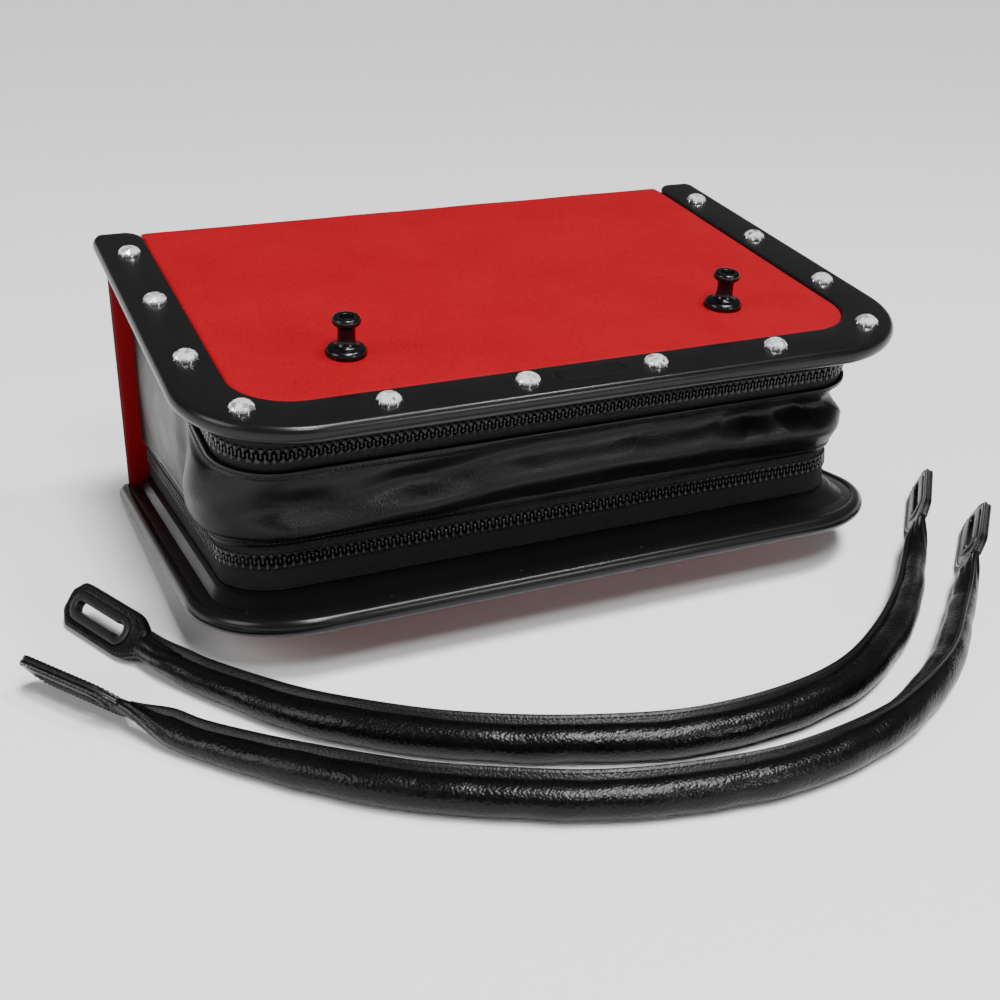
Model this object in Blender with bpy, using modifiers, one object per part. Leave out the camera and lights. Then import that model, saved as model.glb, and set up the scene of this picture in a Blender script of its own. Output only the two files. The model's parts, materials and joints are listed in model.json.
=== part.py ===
"""Drum stick bag with two zipped compartments and a pair of button-on carrying handles.

The bag closes like a book: a bottom panel and a top panel hinge on a leather spine, and a leather gusset
runs round the other three sides between two zips. Units are metres, +Z is up, +X runs along the spine and
-Y is the side that opens. The bag stands on the two strap buttons of its bottom panel and on its rear edge,
and the two handles lie unbuttoned on the floor in front of it.
"""

from math import asin, atan2, cos, degrees, pi, radians, sin

import bmesh
import bpy
from mathutils import Matrix, Vector

MM = 0.001

# Panels: each is a U-shaped two-part frame round a leather-covered board. Local axes: x right, y = 0 at the
# rear edge and -DEPTH at the front, z = 0 on the outer face and growing into the bag.
WIDTH = 470 * MM
DEPTH = 313 * MM
CORNER = 70.5 * MM
BORDER = 33 * MM
FRAME_THICK = 11.2 * MM
BULLNOSE = 4.6 * MM
GROOVE_INSET = 7.4 * MM
CORNER_STEPS = 8
GAP = 0.3 * MM

# Heights above a panel's outer face
LEATHER_OUT = 1.7 * MM
BORDER_TOP = 4.6 * MM
BOARD_TOP = 7.8 * MM
LINING_TOP = 9.4 * MM
LEDGE_TOP = 10.6 * MM
RAIL_TOP = 16.6 * MM
ZIP_CENTRE = 35 * MM

# Zip wall: the U that both zips follow, closer to the frame's edge at the sides than at the front
WALL_HALF = 211 * MM
WALL_FRONT = 38.2 * MM
WALL_CORNER = 36 * MM
TAPE_THICK = 1.6 * MM
TEETH_THICK = 4.2 * MM
TEETH_ROW = 3.6 * MM
TEETH_GAP = 1.7 * MM
TAPE_END = 51.5 * MM
LEATHER_START = 44.5 * MM
GUSSET_OUT = 2.4 * MM
GUSSET_THICK = 2.2 * MM
GUSSET_PINCH = 7.5 * MM
GUSSET_BAND = 0.2
PANEL_REAR = -5.6 * MM
RAIL_REAR = -9.2 * MM
MIDDLE_REAR = -12.2 * MM

# Wedge: the spine stands on the bottom panel's rear edge and carries the top panel's
SPINE_HEIGHT = 201 * MM
SPINE_LEAN = radians(9.0)
WEDGE = radians(13.0)
SPINE_WIDTH = 454 * MM
SPINE_THICK = 2.8 * MM

# Strap buttons
BUTTON_X = 127 * MM
BUTTON_FROM_FRONT = 85 * MM
BUTTON_TOP = 22.4 * MM
BUTTON_FLAT_RADIUS = 6.5 * MM

# Crystal studs: distance from the front edge along the sides, and x along the front
STUD_RADIUS = 7.4 * MM
STUD_INSET = 18.7 * MM
STUD_CORNER = 33 * MM
STUD_SIDE = [272 * MM, 189 * MM, 103 * MM]
STUD_FRONT = [41.3 * MM, 124.2 * MM]

# Zip slider and pull
SLIDER_LENGTH = 23 * MM
SLIDER_WIDTH = 14 * MM
SLIDER_REAR = -28 * MM
PULL_LENGTH = 26 * MM

# Handles: a leather tube between two flat tabs, each with an oval keyhole plate
GRIP_RADIUS = 10.5 * MM
TAB_LENGTH = 80 * MM
TAB_WIDTH = 29 * MM
TAB_THICK = 5 * MM
PLATE_LENGTH = 61 * MM
PLATE_WIDTH = 18.5 * MM
PLATE_THICK = 6.6 * MM
KEYHOLE_WIDE = 4.7 * MM
KEYHOLE_NARROW = 3.1 * MM
PLATE_RIM = 5.5 * MM

# The bag tilts until its button tips and its rear edge meet the floor
BUTTON_REACH = DEPTH - BUTTON_FROM_FRONT - BUTTON_FLAT_RADIUS
TILT = atan2(BUTTON_TOP, BUTTON_REACH)
TOP_SLOPE = WEDGE - TILT
SPINE_TILT = SPINE_LEAN - TILT
REAR_TOP = Vector((0, -SPINE_HEIGHT * sin(SPINE_TILT), SPINE_HEIGHT * cos(SPINE_TILT)))

# Place of the bag's lower rear edge, so that the whole part's box is centred on the origin
ORIGIN = Vector((6.64 * MM, 255.83 * MM, 0))

COLOURS = {
    "frame_plastic": ((0.03, 0.03, 0.031), 0.4),
    "red_leather": ((0.58, 0.012, 0.016), 0.5),
    "black_leather": ((0.02, 0.02, 0.02), 0.5),
    "zip_tape": ((0.01, 0.01, 0.01), 0.85),
    "zip_teeth": ((0.015, 0.015, 0.016), 0.35),
    "board": ((0.09, 0.07, 0.05), 0.8),
    "lining": ((0.015, 0.015, 0.017), 0.9),
    "button_nylon": ((0.008, 0.008, 0.008), 0.25),
    "screw_steel": ((0.02, 0.02, 0.02), 0.35),
    "crystal": ((0.85, 0.87, 0.9), 0.05),
    "slider_metal": ((0.02, 0.02, 0.02), 0.35),
    "plate_nylon": ((0.035, 0.035, 0.036), 0.6),
}
METALS = {"screw_steel", "slider_metal"}


def clear_scene():
    for obj in list(bpy.data.objects):
        bpy.data.objects.remove(obj, do_unlink=True)


def make_collection(name):
    collection = bpy.data.collections.new(name)
    bpy.context.scene.collection.children.link(collection)
    return collection


def make_material(name):
    colour, roughness = COLOURS[name]
    material = bpy.data.materials.new(name)
    material.use_nodes = True
    shader = material.node_tree.nodes["Principled BSDF"]
    shader.inputs["Base Color"].default_value = (*colour, 1)
    shader.inputs["Roughness"].default_value = roughness
    shader.inputs["Metallic"].default_value = 1.0 if name in METALS else 0.0
    return material


class Bag:
    """The collections, materials and pivots that every builder shares."""

    def __init__(self):
        self.parts = make_collection("drum_stick_bag")
        self.cutters = make_collection("cutters")
        self.materials = {name: make_material(name) for name in COLOURS}
        bottom = Matrix.Translation(ORIGIN) @ Matrix.Rotation(-TILT, 4, "X")
        spine = Matrix.Translation(ORIGIN) @ Matrix.Rotation(SPINE_TILT, 4, "X")
        top = Matrix.Translation(ORIGIN + REAR_TOP) @ Matrix.Rotation(TOP_SLOPE, 4, "X")
        self.bottom = self.pivot("bottom_pivot", bottom)
        self.spine = self.pivot("spine_pivot", spine)
        self.top = self.pivot("top_pivot", top @ Matrix.Rotation(pi, 4, "Y"))
        self.top_upright = self.pivot("top_upright_pivot", top)
        self.floor = self.pivot("floor_pivot", Matrix.Translation(ORIGIN))

    def pivot(self, name, matrix):
        """An empty that carries what moves together."""
        empty = bpy.data.objects.new(name, None)
        empty.matrix_world = matrix
        self.parts.objects.link(empty)
        return empty

    def place(self, obj, parent, material, local=None):
        """Parent a finished object to a pivot, at a local matrix, with its material."""
        if obj.name not in self.parts.objects:
            self.parts.objects.link(obj)
        obj.parent = parent
        obj.matrix_local = local or Matrix.Identity(4)
        if material:
            obj.data.materials.clear()
            obj.data.materials.append(self.materials[material])
        if obj.type == "MESH":
            obj.data.shade_smooth()
            obj.data.set_sharp_from_angle(angle=radians(35))
        return obj

    def hide_guide(self, obj):
        """Keep a cutter or guide out of the render and out of the part."""
        self.cutters.objects.link(obj)
        obj.hide_render = True
        obj.display_type = "WIRE"
        return obj


def arc(centre_x, centre_y, radius, start, end, steps=CORNER_STEPS):
    """Points on an arc, angles in degrees."""
    turn = [radians(start + (end - start) * i / steps) for i in range(steps + 1)]
    return [(centre_x + radius * cos(a), centre_y + radius * sin(a)) for a in turn]


def u_path(half, front, radius, rear):
    """A U in plan: rear left, round the front (its distance from the panel's front edge), rear right."""
    near_x, near_y = half - radius, front + radius - DEPTH
    left = arc(-near_x, near_y, radius, 180, 270)
    right = arc(near_x, near_y, radius, 270, 360)
    return [(-half, rear), *left, *right, (half, rear)]


def rim(inset, rear):
    """The U of a panel's edge at an inset."""
    return u_path(WIDTH / 2 - inset, inset, CORNER - inset, rear)


def wall_rim(outward, rear):
    """The U of the zip wall, moved outward from its middle."""
    return u_path(WALL_HALF + outward, WALL_FRONT - outward, WALL_CORNER + outward, rear)


def stadium(length, width, steps=CORNER_STEPS):
    """A slot outline with round ends, along x."""
    reach, radius = (length - width) / 2, width / 2
    return arc(reach, 0, radius, -90, 90, steps) + arc(-reach, 0, radius, 90, 270, steps)


def make_curve(name, splines, cyclic=True, flat=True):
    """A curve object of POLY splines through plan points (x, y) or space points (x, y, z)."""
    data = bpy.data.curves.new(name, "CURVE")
    data.dimensions = "2D" if flat else "3D"
    for points in splines:
        spline = data.splines.new("POLY")
        spline.points.add(len(points) - 1)
        for target, point in zip(spline.points, points):
            target.co = (*point, *(0,) * (3 - len(point)), 1)
        spline.use_cyclic_u = cyclic
    return bpy.data.objects.new(name, data)


def make_slab(name, outlines, low, high):
    """A flat piece: filled plan outlines, further ones being holes, from height low to high."""
    obj = make_curve(name, outlines)
    obj.data.fill_mode = "BOTH"
    obj.data.extrude = (high - low) / 2
    return obj, Matrix.Translation((0, 0, (low + high) / 2))


def curve_to_mesh(obj):
    """A welded mesh object in place of a curve object."""
    bpy.context.scene.collection.objects.link(obj)
    bpy.context.view_layer.update()
    evaluated = obj.evaluated_get(bpy.context.evaluated_depsgraph_get())
    mesh = bpy.data.meshes.new_from_object(evaluated)
    work = bmesh.new()
    work.from_mesh(mesh)
    bmesh.ops.remove_doubles(work, verts=work.verts, dist=0.00001)
    bmesh.ops.recalc_face_normals(work, faces=work.faces)
    work.to_mesh(mesh)
    work.free()
    name = obj.name
    bpy.data.objects.remove(obj)
    mesh.name = name
    return bpy.data.objects.new(name, mesh)


def make_rim_bar(bag, name, profile, route):
    """A bar swept round a U; its profile is (inset, height) points from that route."""
    section = bag.hide_guide(make_curve(name + "_section", [[(-x, y) for x, y in profile]]))
    path = make_curve(name, [route], cyclic=False)
    path.data.bevel_mode = "OBJECT"
    path.data.bevel_object = section
    path.data.use_fill_caps = True
    return curve_to_mesh(path)


def cut(bag, obj, cutter, operation="DIFFERENCE"):
    """Cut, or join, a mesh object with another, exactly."""
    bag.hide_guide(cutter)
    cutter.parent = obj
    modifier = obj.modifiers.new(operation.lower(), "BOOLEAN")
    modifier.operation = operation
    modifier.object = cutter
    modifier.solver = "EXACT"


def make_box(name, low, high):
    """A box between two corners, as a mesh object."""
    work = bmesh.new()
    bmesh.ops.create_cube(work, size=1)
    low, high = Vector(low), Vector(high)
    bmesh.ops.scale(work, vec=high - low, verts=work.verts)
    bmesh.ops.translate(work, vec=(low + high) / 2, verts=work.verts)
    mesh = bpy.data.meshes.new(name)
    work.to_mesh(mesh)
    work.free()
    return bpy.data.objects.new(name, mesh)


def make_turned(name, profile, steps=20):
    """A solid turned about z from an (r, z) profile that runs from the axis, down the outside, to the axis."""
    mesh = bpy.data.meshes.new(name)
    edges = [(i, i + 1) for i in range(len(profile) - 1)]
    mesh.from_pydata([(r, 0, z) for r, z in profile], edges, [])
    obj = bpy.data.objects.new(name, mesh)
    screw = obj.modifiers.new("turn", "SCREW")
    screw.axis = "Z"
    screw.angle = 2 * pi
    screw.steps = screw.render_steps = steps
    screw.use_merge_vertices = True
    screw.merge_threshold = 0.00001
    return obj


def frame_profile():
    """Outer half of a frame: flat border, bullnose edge and the lip over the inner half."""
    half = FRAME_THICK / 2
    nose = [
        (BULLNOSE * (1 - cos(radians(a))), half + half * sin(radians(a)))
        for a in range(-90, 91, 18)
    ]
    lip = GROOVE_INSET - GAP
    border = [(lip, FRAME_THICK), (lip, BORDER_TOP), (BORDER, BORDER_TOP), (BORDER, 0.9 * MM)]
    return [(BORDER - 1.2 * MM, 0), *nose, *border]


def make_rail(name):
    """Inner half of a frame: a flat ledge, then the moulded plinth that the zip tape is fixed to.

    The plinth's foot and crest follow different Us, so the rail is a loft through them.
    """
    base = BOARD_TOP + GAP
    crest = [(3 * MM, RAIL_TOP), (-1.4 * MM, RAIL_TOP), (-2.4 * MM, RAIL_TOP - 1 * MM), (-2.4 * MM, base)]
    lines = [(rim(GROOVE_INSET, RAIL_REAR), base), (rim(GROOVE_INSET, RAIL_REAR), LEDGE_TOP)]
    lines.append((u_path(WALL_HALF + 8.5 * MM, 19 * MM, 46 * MM, RAIL_REAR), LEDGE_TOP))
    lines.append((u_path(WALL_HALF + 7 * MM, 25 * MM, 43 * MM, RAIL_REAR), LEDGE_TOP + 1.5 * MM))
    lines.append((u_path(WALL_HALF + 4.4 * MM, 33 * MM, 40 * MM, RAIL_REAR), RAIL_TOP - 1.1 * MM))
    lines += [(wall_rim(out, RAIL_REAR), height) for out, height in crest]
    work = bmesh.new()
    rows = [[work.verts.new((x, y, height)) for x, y in line] for line, height in lines]
    rows.append(rows[0])
    for row, following in zip(rows, rows[1:]):
        for i in range(len(row) - 1):
            work.faces.new((row[i], following[i], following[i + 1], row[i + 1]))
    for end in (0, -1):
        work.faces.new([row[end] for row in rows[:-1]])
    bmesh.ops.recalc_face_normals(work, faces=work.faces)
    mesh = bpy.data.meshes.new(name)
    work.to_mesh(mesh)
    work.free()
    return bpy.data.objects.new(name, mesh)


def strip(thick, low, high):
    """A rectangular section: thickness across the wall, height from low to high."""
    half = thick / 2
    return [(-half, low), (-half, high), (half, high), (half, low)]


def arm_end_cutters():
    """Outlines of what is taken off each frame arm to round its rear end."""
    outer, inner = WIDTH / 2, WIDTH / 2 - BORDER
    small, large, spare = 8 * MM, 15 * MM, 3 * MM
    around = arc(outer - small, -small, small, 0, 90)
    inside = arc(inner + large, -large, large, 90, 180)
    beyond = [(inner - spare, -large), (inner - spare, spare), (outer + spare, spare), (outer + spare, -small)]
    right = around + inside + beyond
    left = [(-x, y) for x, y in reversed(right)]
    return [left, right]


def build_frame(bag, side, pivot):
    """One panel's rigid parts, the same for the bottom and the top."""
    frame = make_rim_bar(bag, side + "_frame", frame_profile(), rim(0, 0))
    for index, outline in enumerate(arm_end_cutters()):
        obj, shift = make_slab(f"{side}_arm_end_{index}", [outline], -2 * MM, FRAME_THICK + 2 * MM)
        cutter = curve_to_mesh(obj)
        cutter.data.transform(shift)
        cut(bag, frame, cutter)
    bag.place(frame, pivot, "frame_plastic")
    bag.place(make_rail(side + "_zip_rail"), pivot, "frame_plastic")
    panel = rim(BORDER + 0.6 * MM, PANEL_REAR)
    board = rim(GROOVE_INSET + 0.6 * MM, PANEL_REAR)
    inside = wall_rim(-3.2 * MM, PANEL_REAR)
    layers = [
        ("_leather", panel, LEATHER_OUT, BORDER_TOP, "red_leather"),
        ("_board", board, BORDER_TOP + GAP, BOARD_TOP, "board"),
        ("_lining", inside, BOARD_TOP + GAP, LINING_TOP, "lining"),
    ]
    for suffix, outline, low, high, material in layers:
        obj, shift = make_slab(side + suffix, [outline], low, high)
        bag.place(obj, pivot, material, shift)


def build_zip_side(bag, name, tape_low, tape_high, row_low, rear, pivot):
    """One half of a zip: its tape and its row of teeth, between heights above the panel."""
    route = wall_rim(0, rear)
    tape = make_rim_bar(bag, name + "_tape", strip(TAPE_THICK, tape_low, tape_high), route)
    bag.place(tape, pivot, "zip_tape")
    teeth = make_rim_bar(bag, name + "_teeth", strip(TEETH_THICK, row_low, row_low + TEETH_ROW), route)
    bag.place(teeth, pivot, "zip_teeth")


def build_zip(bag, zip_name, pivot):
    """A closed zip: the panel's half and the gusset's half, with the slider's gap between the rows."""
    near_row = ZIP_CENTRE - TEETH_GAP / 2 - TEETH_ROW
    far_row = ZIP_CENTRE + TEETH_GAP / 2
    build_zip_side(bag, zip_name + "_panel", RAIL_TOP + GAP, near_row - GAP, near_row, RAIL_REAR, pivot)
    far_tape = far_row + TEETH_ROW + GAP
    build_zip_side(bag, zip_name + "_gusset", far_tape, TAPE_END, far_row, MIDDLE_REAR, pivot)


def button_profile():
    """Strap button: flange, waisted post and domed head with a screw well, as (r, z) down the outside."""
    seat = -LEATHER_OUT + GAP
    top = BUTTON_TOP
    well = [(0, top - 3 * MM), (3.9 * MM, top - 3 * MM), (4.1 * MM, top - 0.3 * MM), (4.9 * MM, top)]
    head = [(BUTTON_FLAT_RADIUS, top), (8.1 * MM, top - 1 * MM), (8.5 * MM, top - 2.6 * MM)]
    neck = [(7.8 * MM, top - 4.4 * MM), (5.8 * MM, top - 5.7 * MM), (5.2 * MM, top - 8.3 * MM)]
    foot = [(5.2 * MM, seat + 5.5 * MM), (5.9 * MM, seat + 3.7 * MM), (10.5 * MM, seat + 3.7 * MM)]
    flange = [(11.9 * MM, seat + 2.9 * MM), (12.2 * MM, seat + 1.5 * MM), (11.8 * MM, seat), (0, seat)]
    return well + head + neck + foot + flange


def screw_profile():
    """Pan-head screw sitting in the button's well."""
    base = BUTTON_TOP - 3 * MM + GAP
    edge = 3.5 * MM
    return [(0, base + 2 * MM), (2.4 * MM, base + 1.6 * MM), (edge, base + 0.5 * MM), (edge, base), (0, base)]


def build_buttons(bag, side, pivot):
    """The pair of strap buttons on a panel's outer face, each with its screw."""
    for hand, sign in (("left", -1), ("right", 1)):
        x = sign * BUTTON_X * (1 if side == "bottom" else -1)
        place = Matrix.Translation((x, BUTTON_FROM_FRONT - DEPTH, 0)) @ Matrix.Rotation(pi, 4, "X")
        button = make_turned(f"{side}_button_{hand}", button_profile())
        bag.place(button, pivot, "button_nylon", place)
        screw = make_turned(f"{side}_button_screw_{hand}", screw_profile(), 12)
        bag.place(screw, pivot, "screw_steel", place)


def stud_places():
    """Plan points of a frame's twelve studs, from rear left round to rear right."""
    half = WIDTH / 2
    left = [(-(half - STUD_INSET), y - DEPTH) for y in STUD_SIDE]
    left.append((-(half - STUD_CORNER), STUD_CORNER - DEPTH))
    left += [(-x, STUD_INSET - DEPTH) for x in reversed(STUD_FRONT)]
    return left + [(-x, y) for x, y in reversed(left)]


def build_studs(bag, pivot):
    """Crystal studs standing on the top frame's border, as low cut domes."""
    profile = [(0, 5 * MM), (3.7 * MM, 5 * MM), (STUD_RADIUS, 1.5 * MM), (STUD_RADIUS, GAP), (0, GAP)]
    for index, (x, y) in enumerate(stud_places()):
        stud = make_turned(f"crystal_stud_{index + 1:02d}", profile, 10)
        place = Matrix.Translation((x, y, 0)) @ Matrix.Rotation(pi, 4, "X")
        bag.place(stud, pivot, "crystal", place)


def build_spine(bag):
    """Stiff double leather spine: wide between the frames' lips, narrower where it folds onto the panels."""
    narrow = WIDTH / 2 - BORDER - 0.8 * MM
    wide = SPINE_WIDTH / 2
    fold = 2.4 * MM
    step = BORDER_TOP + 1.2 * MM
    right = [(narrow, fold), (narrow, step), (wide, step), (wide, SPINE_HEIGHT - step)]
    right += [(narrow, SPINE_HEIGHT - step), (narrow, SPINE_HEIGHT - fold)]
    outline = right + [(-x, y) for x, y in reversed(right)]
    obj, _ = make_slab("spine_leather", [outline], 0, SPINE_THICK)
    stand_up = Matrix.Rotation(pi / 2, 4, "X")
    set_in = Matrix.Translation((0, -GAP - SPINE_THICK / 2, 0))
    bag.place(obj, bag.spine, "red_leather", set_in @ stand_up)


def gusset_rim(pivot):
    """The gusset's edge along one zip, in world space."""
    return [pivot.matrix_world @ Vector((x, y, LEATHER_START)) for x, y in wall_rim(GUSSET_OUT, MIDDLE_REAR)]


def build_gusset(bag):
    """Leather wall lofted between the two tilted zip rims and drawn in at mid height by the divider."""
    lower = gusset_rim(bag.bottom)
    upper = list(reversed(gusset_rim(bag.top)))
    levels = [0, GUSSET_BAND, 0.35, 0.5, 0.65, 1 - GUSSET_BAND, 1]
    last = len(lower) - 1
    work = bmesh.new()
    rows = []
    for level in levels:
        across = min(max((level - GUSSET_BAND) / (1 - 2 * GUSSET_BAND), 0), 1)
        drawn_in = GUSSET_PINCH * sin(pi * across) ** 2
        row = []
        for i, (low, high) in enumerate(zip(lower, upper)):
            along = lower[min(i + 1, last)] - lower[max(i - 1, 0)]
            inward = Vector((-along.y, along.x, 0)).normalized()
            row.append(work.verts.new(low.lerp(high, level) + inward * drawn_in))
        rows.append(row)
    for row, above in zip(rows, rows[1:]):
        for i in range(last):
            work.faces.new((row[i], row[i + 1], above[i + 1], above[i]))
    mesh = bpy.data.meshes.new("gusset_leather")
    work.to_mesh(mesh)
    work.free()
    gusset = bpy.data.objects.new("gusset_leather", mesh)
    thicken = gusset.modifiers.new("thickness", "SOLIDIFY")
    thicken.thickness = GUSSET_THICK
    thicken.offset = 0
    thicken.use_even_offset = True
    bag.place(gusset, bag.floor, "black_leather", bag.floor.matrix_world.inverted())


def build_divider(bag):
    """Board between the two compartments, with a stick pocket above it and an accessory pocket below."""
    edge = Vector((0, WALL_FRONT - GUSSET_OUT - DEPTH, LEATHER_START))
    wall = (bag.bottom.matrix_world @ edge + bag.top.matrix_world @ edge) / 2 - ORIGIN
    clear = GUSSET_PINCH + GUSSET_THICK
    half_width, radius = WALL_HALF + GUSSET_OUT - clear, 24 * MM
    rear, front = -SPINE_HEIGHT / 2 * sin(SPINE_TILT) - SPINE_THICK - 1.5 * MM, wall.y + clear
    middle = (SPINE_HEIGHT / 2 + wall.z) / 2
    thick, pocket = 4 * MM, 3 * MM
    right = arc(half_width - radius, front + radius, radius, -90, 0)
    outline = [*right, (half_width, rear)]
    outline += [(-x, y) for x, y in reversed(outline)]
    layers = [("divider_board", outline, middle, middle + thick, "lining")]
    sleeve = stadium(2 * half_width - 24 * MM, 140 * MM, 4)
    flap = stadium(2 * half_width - 90 * MM, 110 * MM, 4)
    centre = (rear + front) / 2
    above, below = middle + thick + GAP, middle - GAP
    layers.append(("stick_pocket", [(x, y + centre) for x, y in sleeve], above, above + pocket, "lining"))
    layers.append(("accessory_pocket", [(x, y + centre) for x, y in flap], below - pocket, below, "lining"))
    for name, points, low, high, material in layers:
        obj, shift = make_slab(name, [points], low, high)
        bag.place(obj, bag.floor, material, shift)


def build_slider(bag, name, pivot, height_sign):
    """A zip slider straddling both rows of teeth on the right-hand wall, and its pull."""
    half_length, half_width = SLIDER_LENGTH / 2, SLIDER_WIDTH / 2
    clear = TEETH_THICK / 2 + 0.4 * MM
    plate = 2.6 * MM
    post = TEETH_GAP / 2 - GAP
    outer = clear + plate
    body = make_box(name, (clear, -half_length, -half_width), (outer, half_length, half_width))
    joined = [
        ((-clear - plate, -half_length, -half_width), (-clear, half_length, half_width)),
        ((-clear - 0.5 * MM, -4 * MM, -post), (clear + 0.5 * MM, 4 * MM, post)),
    ]
    arch_height, arch_thick, foot, reach = 2.4 * MM, 1.4 * MM, 1.4 * MM, 4.9 * MM
    arch_half = 1.5 * MM
    low, high = outer - 0.5 * MM, outer + arch_height + arch_thick
    joined.append(((low, -reach, -arch_half), (high, foot - reach, arch_half)))
    joined.append(((low, reach - foot, -arch_half), (high, reach, arch_half)))
    joined.append(((outer + arch_height, -reach, -arch_half), (high, reach, arch_half)))
    for index, (corner_a, corner_b) in enumerate(joined):
        cut(bag, body, make_box(f"{name}_join_{index}", corner_a, corner_b), "UNION")
    centre = Matrix.Translation((WALL_HALF, SLIDER_REAR, height_sign * ZIP_CENTRE))
    bag.place(body, pivot, "slider_metal", centre)

    bar, half = 0.6 * MM, 4.2 * MM
    hole_end, hole_half = 6.6 * MM, 2.2 * MM
    corner = 2.5 * MM
    tip = PULL_LENGTH - corner
    outline = [(-bar, -half), *arc(tip, -half + corner, corner, -90, 0, 4)]
    outline += [*arc(tip, half - corner, corner, 0, 90, 4), (-bar, half)]
    hole = [(bar, -hole_half), (bar, hole_half), (hole_end, hole_half), (hole_end, -hole_half)]
    pull, _ = make_slab(name.replace("slider", "pull"), [outline, hole], -bar, bar)
    forward = Matrix(((0, 0, 1, 0), (-1, 0, 0, 0), (0, -1, 0, 0), (0, 0, 0, 1)))
    hinge = Matrix.Translation((outer + arch_height / 2, 0, 0))
    bag.place(pull, pivot, "slider_metal", centre @ hinge @ forward)


def smooth_route(points, spacing):
    """Evenly spaced points on a Catmull-Rom curve through the route's own points."""
    pts = [Vector(p) for p in points]
    pts = [2 * pts[0] - pts[1], *pts, 2 * pts[-1] - pts[-2]]
    dense = []
    for a, b, c, d in zip(pts, pts[1:], pts[2:], pts[3:]):
        for step in range(20):
            t = step / 20
            square, cube = 2 * a - 5 * b + 4 * c - d, 3 * b - a - 3 * c + d
            dense.append(0.5 * (2 * b + (c - a) * t + square * t**2 + cube * t**3))
    dense.append(pts[-2])
    even = [dense[0]]
    run = 0.0
    for a, b in zip(dense, dense[1:]):
        run += (b - a).length
        if run >= spacing:
            even.append(b)
            run = 0.0
    even[-1] = dense[-1]
    return even


# Handle centre lines on the floor, left tab tip to right tab tip, in millimetres from the bag's rear edge
HANDLE_ROUTES = {
    "handle_a": [
        (-292, -175), (-259, -254), (-238, -292), (-197, -351), (-153, -391), (-108, -419), (-60, -440),
        (-9, -454), (46, -454), (98, -441), (146, -412), (190, -374), (230, -331), (252, -306), (314, -233),
    ],
    "handle_b": [
        (-326, -247), (-283, -314), (-252, -356), (-211, -401), (-170, -437), (-127, -463), (-83, -484),
        (-34, -497), (22, -502), (79, -491), (122, -471), (163, -444), (202, -408), (242, -369), (313, -295),
    ],
}
# Lean of each tab's face from the floor: positive rises towards the bag, negative rises away from it
TAB_LEANS = {"handle_a": (50, -68), "handle_b": (-54, -62)}


def tab_outline():
    """Tab from its neck at x = 0 to its chamfered tip at x = TAB_LENGTH."""
    half, neck, chamfer, shoulder = TAB_WIDTH / 2, 8 * MM, 8 * MM, 12 * MM
    top = [(0, neck), (shoulder, half), (TAB_LENGTH - chamfer, half), (TAB_LENGTH, half - chamfer)]
    return top + [(x, -y) for x, y in reversed(top)]


def keyhole_outline(centre):
    """Keyhole with its wide round end at the tube's side and its slot towards the tip."""
    start = centre - PLATE_LENGTH / 2 + KEYHOLE_WIDE + PLATE_RIM
    end = centre + PLATE_LENGTH / 2 - KEYHOLE_NARROW - PLATE_RIM
    meet = degrees(asin(KEYHOLE_NARROW / KEYHOLE_WIDE))
    wide = arc(start, 0, KEYHOLE_WIDE, meet, 360 - meet, 12)
    narrow = arc(end, 0, KEYHOLE_NARROW, -90, 90, 8)
    return wide + narrow


def build_tab(bag, name, tip, inward_point, lean):
    """A leather tab and its keyhole plate, leaning on its long edge on the floor."""
    direction = (tip - inward_point).normalized()
    level = Vector((-direction.y, direction.x, 0))
    towards_bag = level if level.y > 0 else -level
    angle = radians(abs(lean))
    across = towards_bag * (cos(angle) if lean > 0 else -cos(angle)) + Vector((0, 0, sin(angle)))
    normal = direction.cross(across)
    rise = TAB_WIDTH / 2 * sin(angle) + PLATE_THICK / 2 * cos(angle)
    root = tip - direction * TAB_LENGTH
    turn = Matrix((direction, across, normal)).transposed().to_4x4()
    place = Matrix.Translation((root.x, root.y, rise)) @ turn
    centre = TAB_LENGTH - PLATE_LENGTH / 2 - 5 * MM
    seat = [(x + centre, y) for x, y in stadium(PLATE_LENGTH + 2 * GAP, PLATE_WIDTH + 2 * GAP)]
    edge = [(x + centre, y) for x, y in stadium(PLATE_LENGTH, PLATE_WIDTH)]
    tab, _ = make_slab(name + "_tab", [tab_outline(), seat], -TAB_THICK / 2, TAB_THICK / 2)
    bag.place(tab, bag.floor, "black_leather", place)
    plate, _ = make_slab(name + "_plate", [edge, keyhole_outline(centre)], -PLATE_THICK / 2, PLATE_THICK / 2)
    bag.place(plate, bag.floor, "plate_nylon", place)
    return root


def build_handle(bag, name):
    """A padded leather tube with a keyhole tab at each end."""
    route = [Vector((x * MM, y * MM, GRIP_RADIUS)) for x, y in HANDLE_ROUTES[name]]
    points = smooth_route(route, 14 * MM)
    lean_left, lean_right = TAB_LEANS[name]
    ends = []
    for hand, line, lean in (("left", points, lean_left), ("right", points[::-1], lean_right)):
        inner = next(p for p in line if (p - line[0]).length > TAB_LENGTH)
        ends.append(build_tab(bag, f"{name}_{hand}", line[0], inner, lean))
    left, right = ends
    spare = 1.5 * MM
    keep = [p for p in points if (p - points[0]).length > TAB_LENGTH + 12 * MM]
    keep = [p for p in keep if (p - points[-1]).length > TAB_LENGTH + 12 * MM]
    starts = []
    for root, inner in ((left, keep[0]), (right, keep[-1])):
        root = Vector((root.x, root.y, GRIP_RADIUS))
        starts.append(root + (inner - root).normalized() * spare)
    grip = make_curve(name + "_grip", [[starts[0], *keep, starts[1]]], cyclic=False, flat=False)
    grip.data.bevel_depth = GRIP_RADIUS
    grip.data.bevel_resolution = 3
    grip.data.use_fill_caps = True
    necks = grip.data.splines[0].points
    for index in (0, len(necks) - 1):
        necks[index].radius = 0.62
    bag.place(grip, bag.floor, "black_leather")


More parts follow.
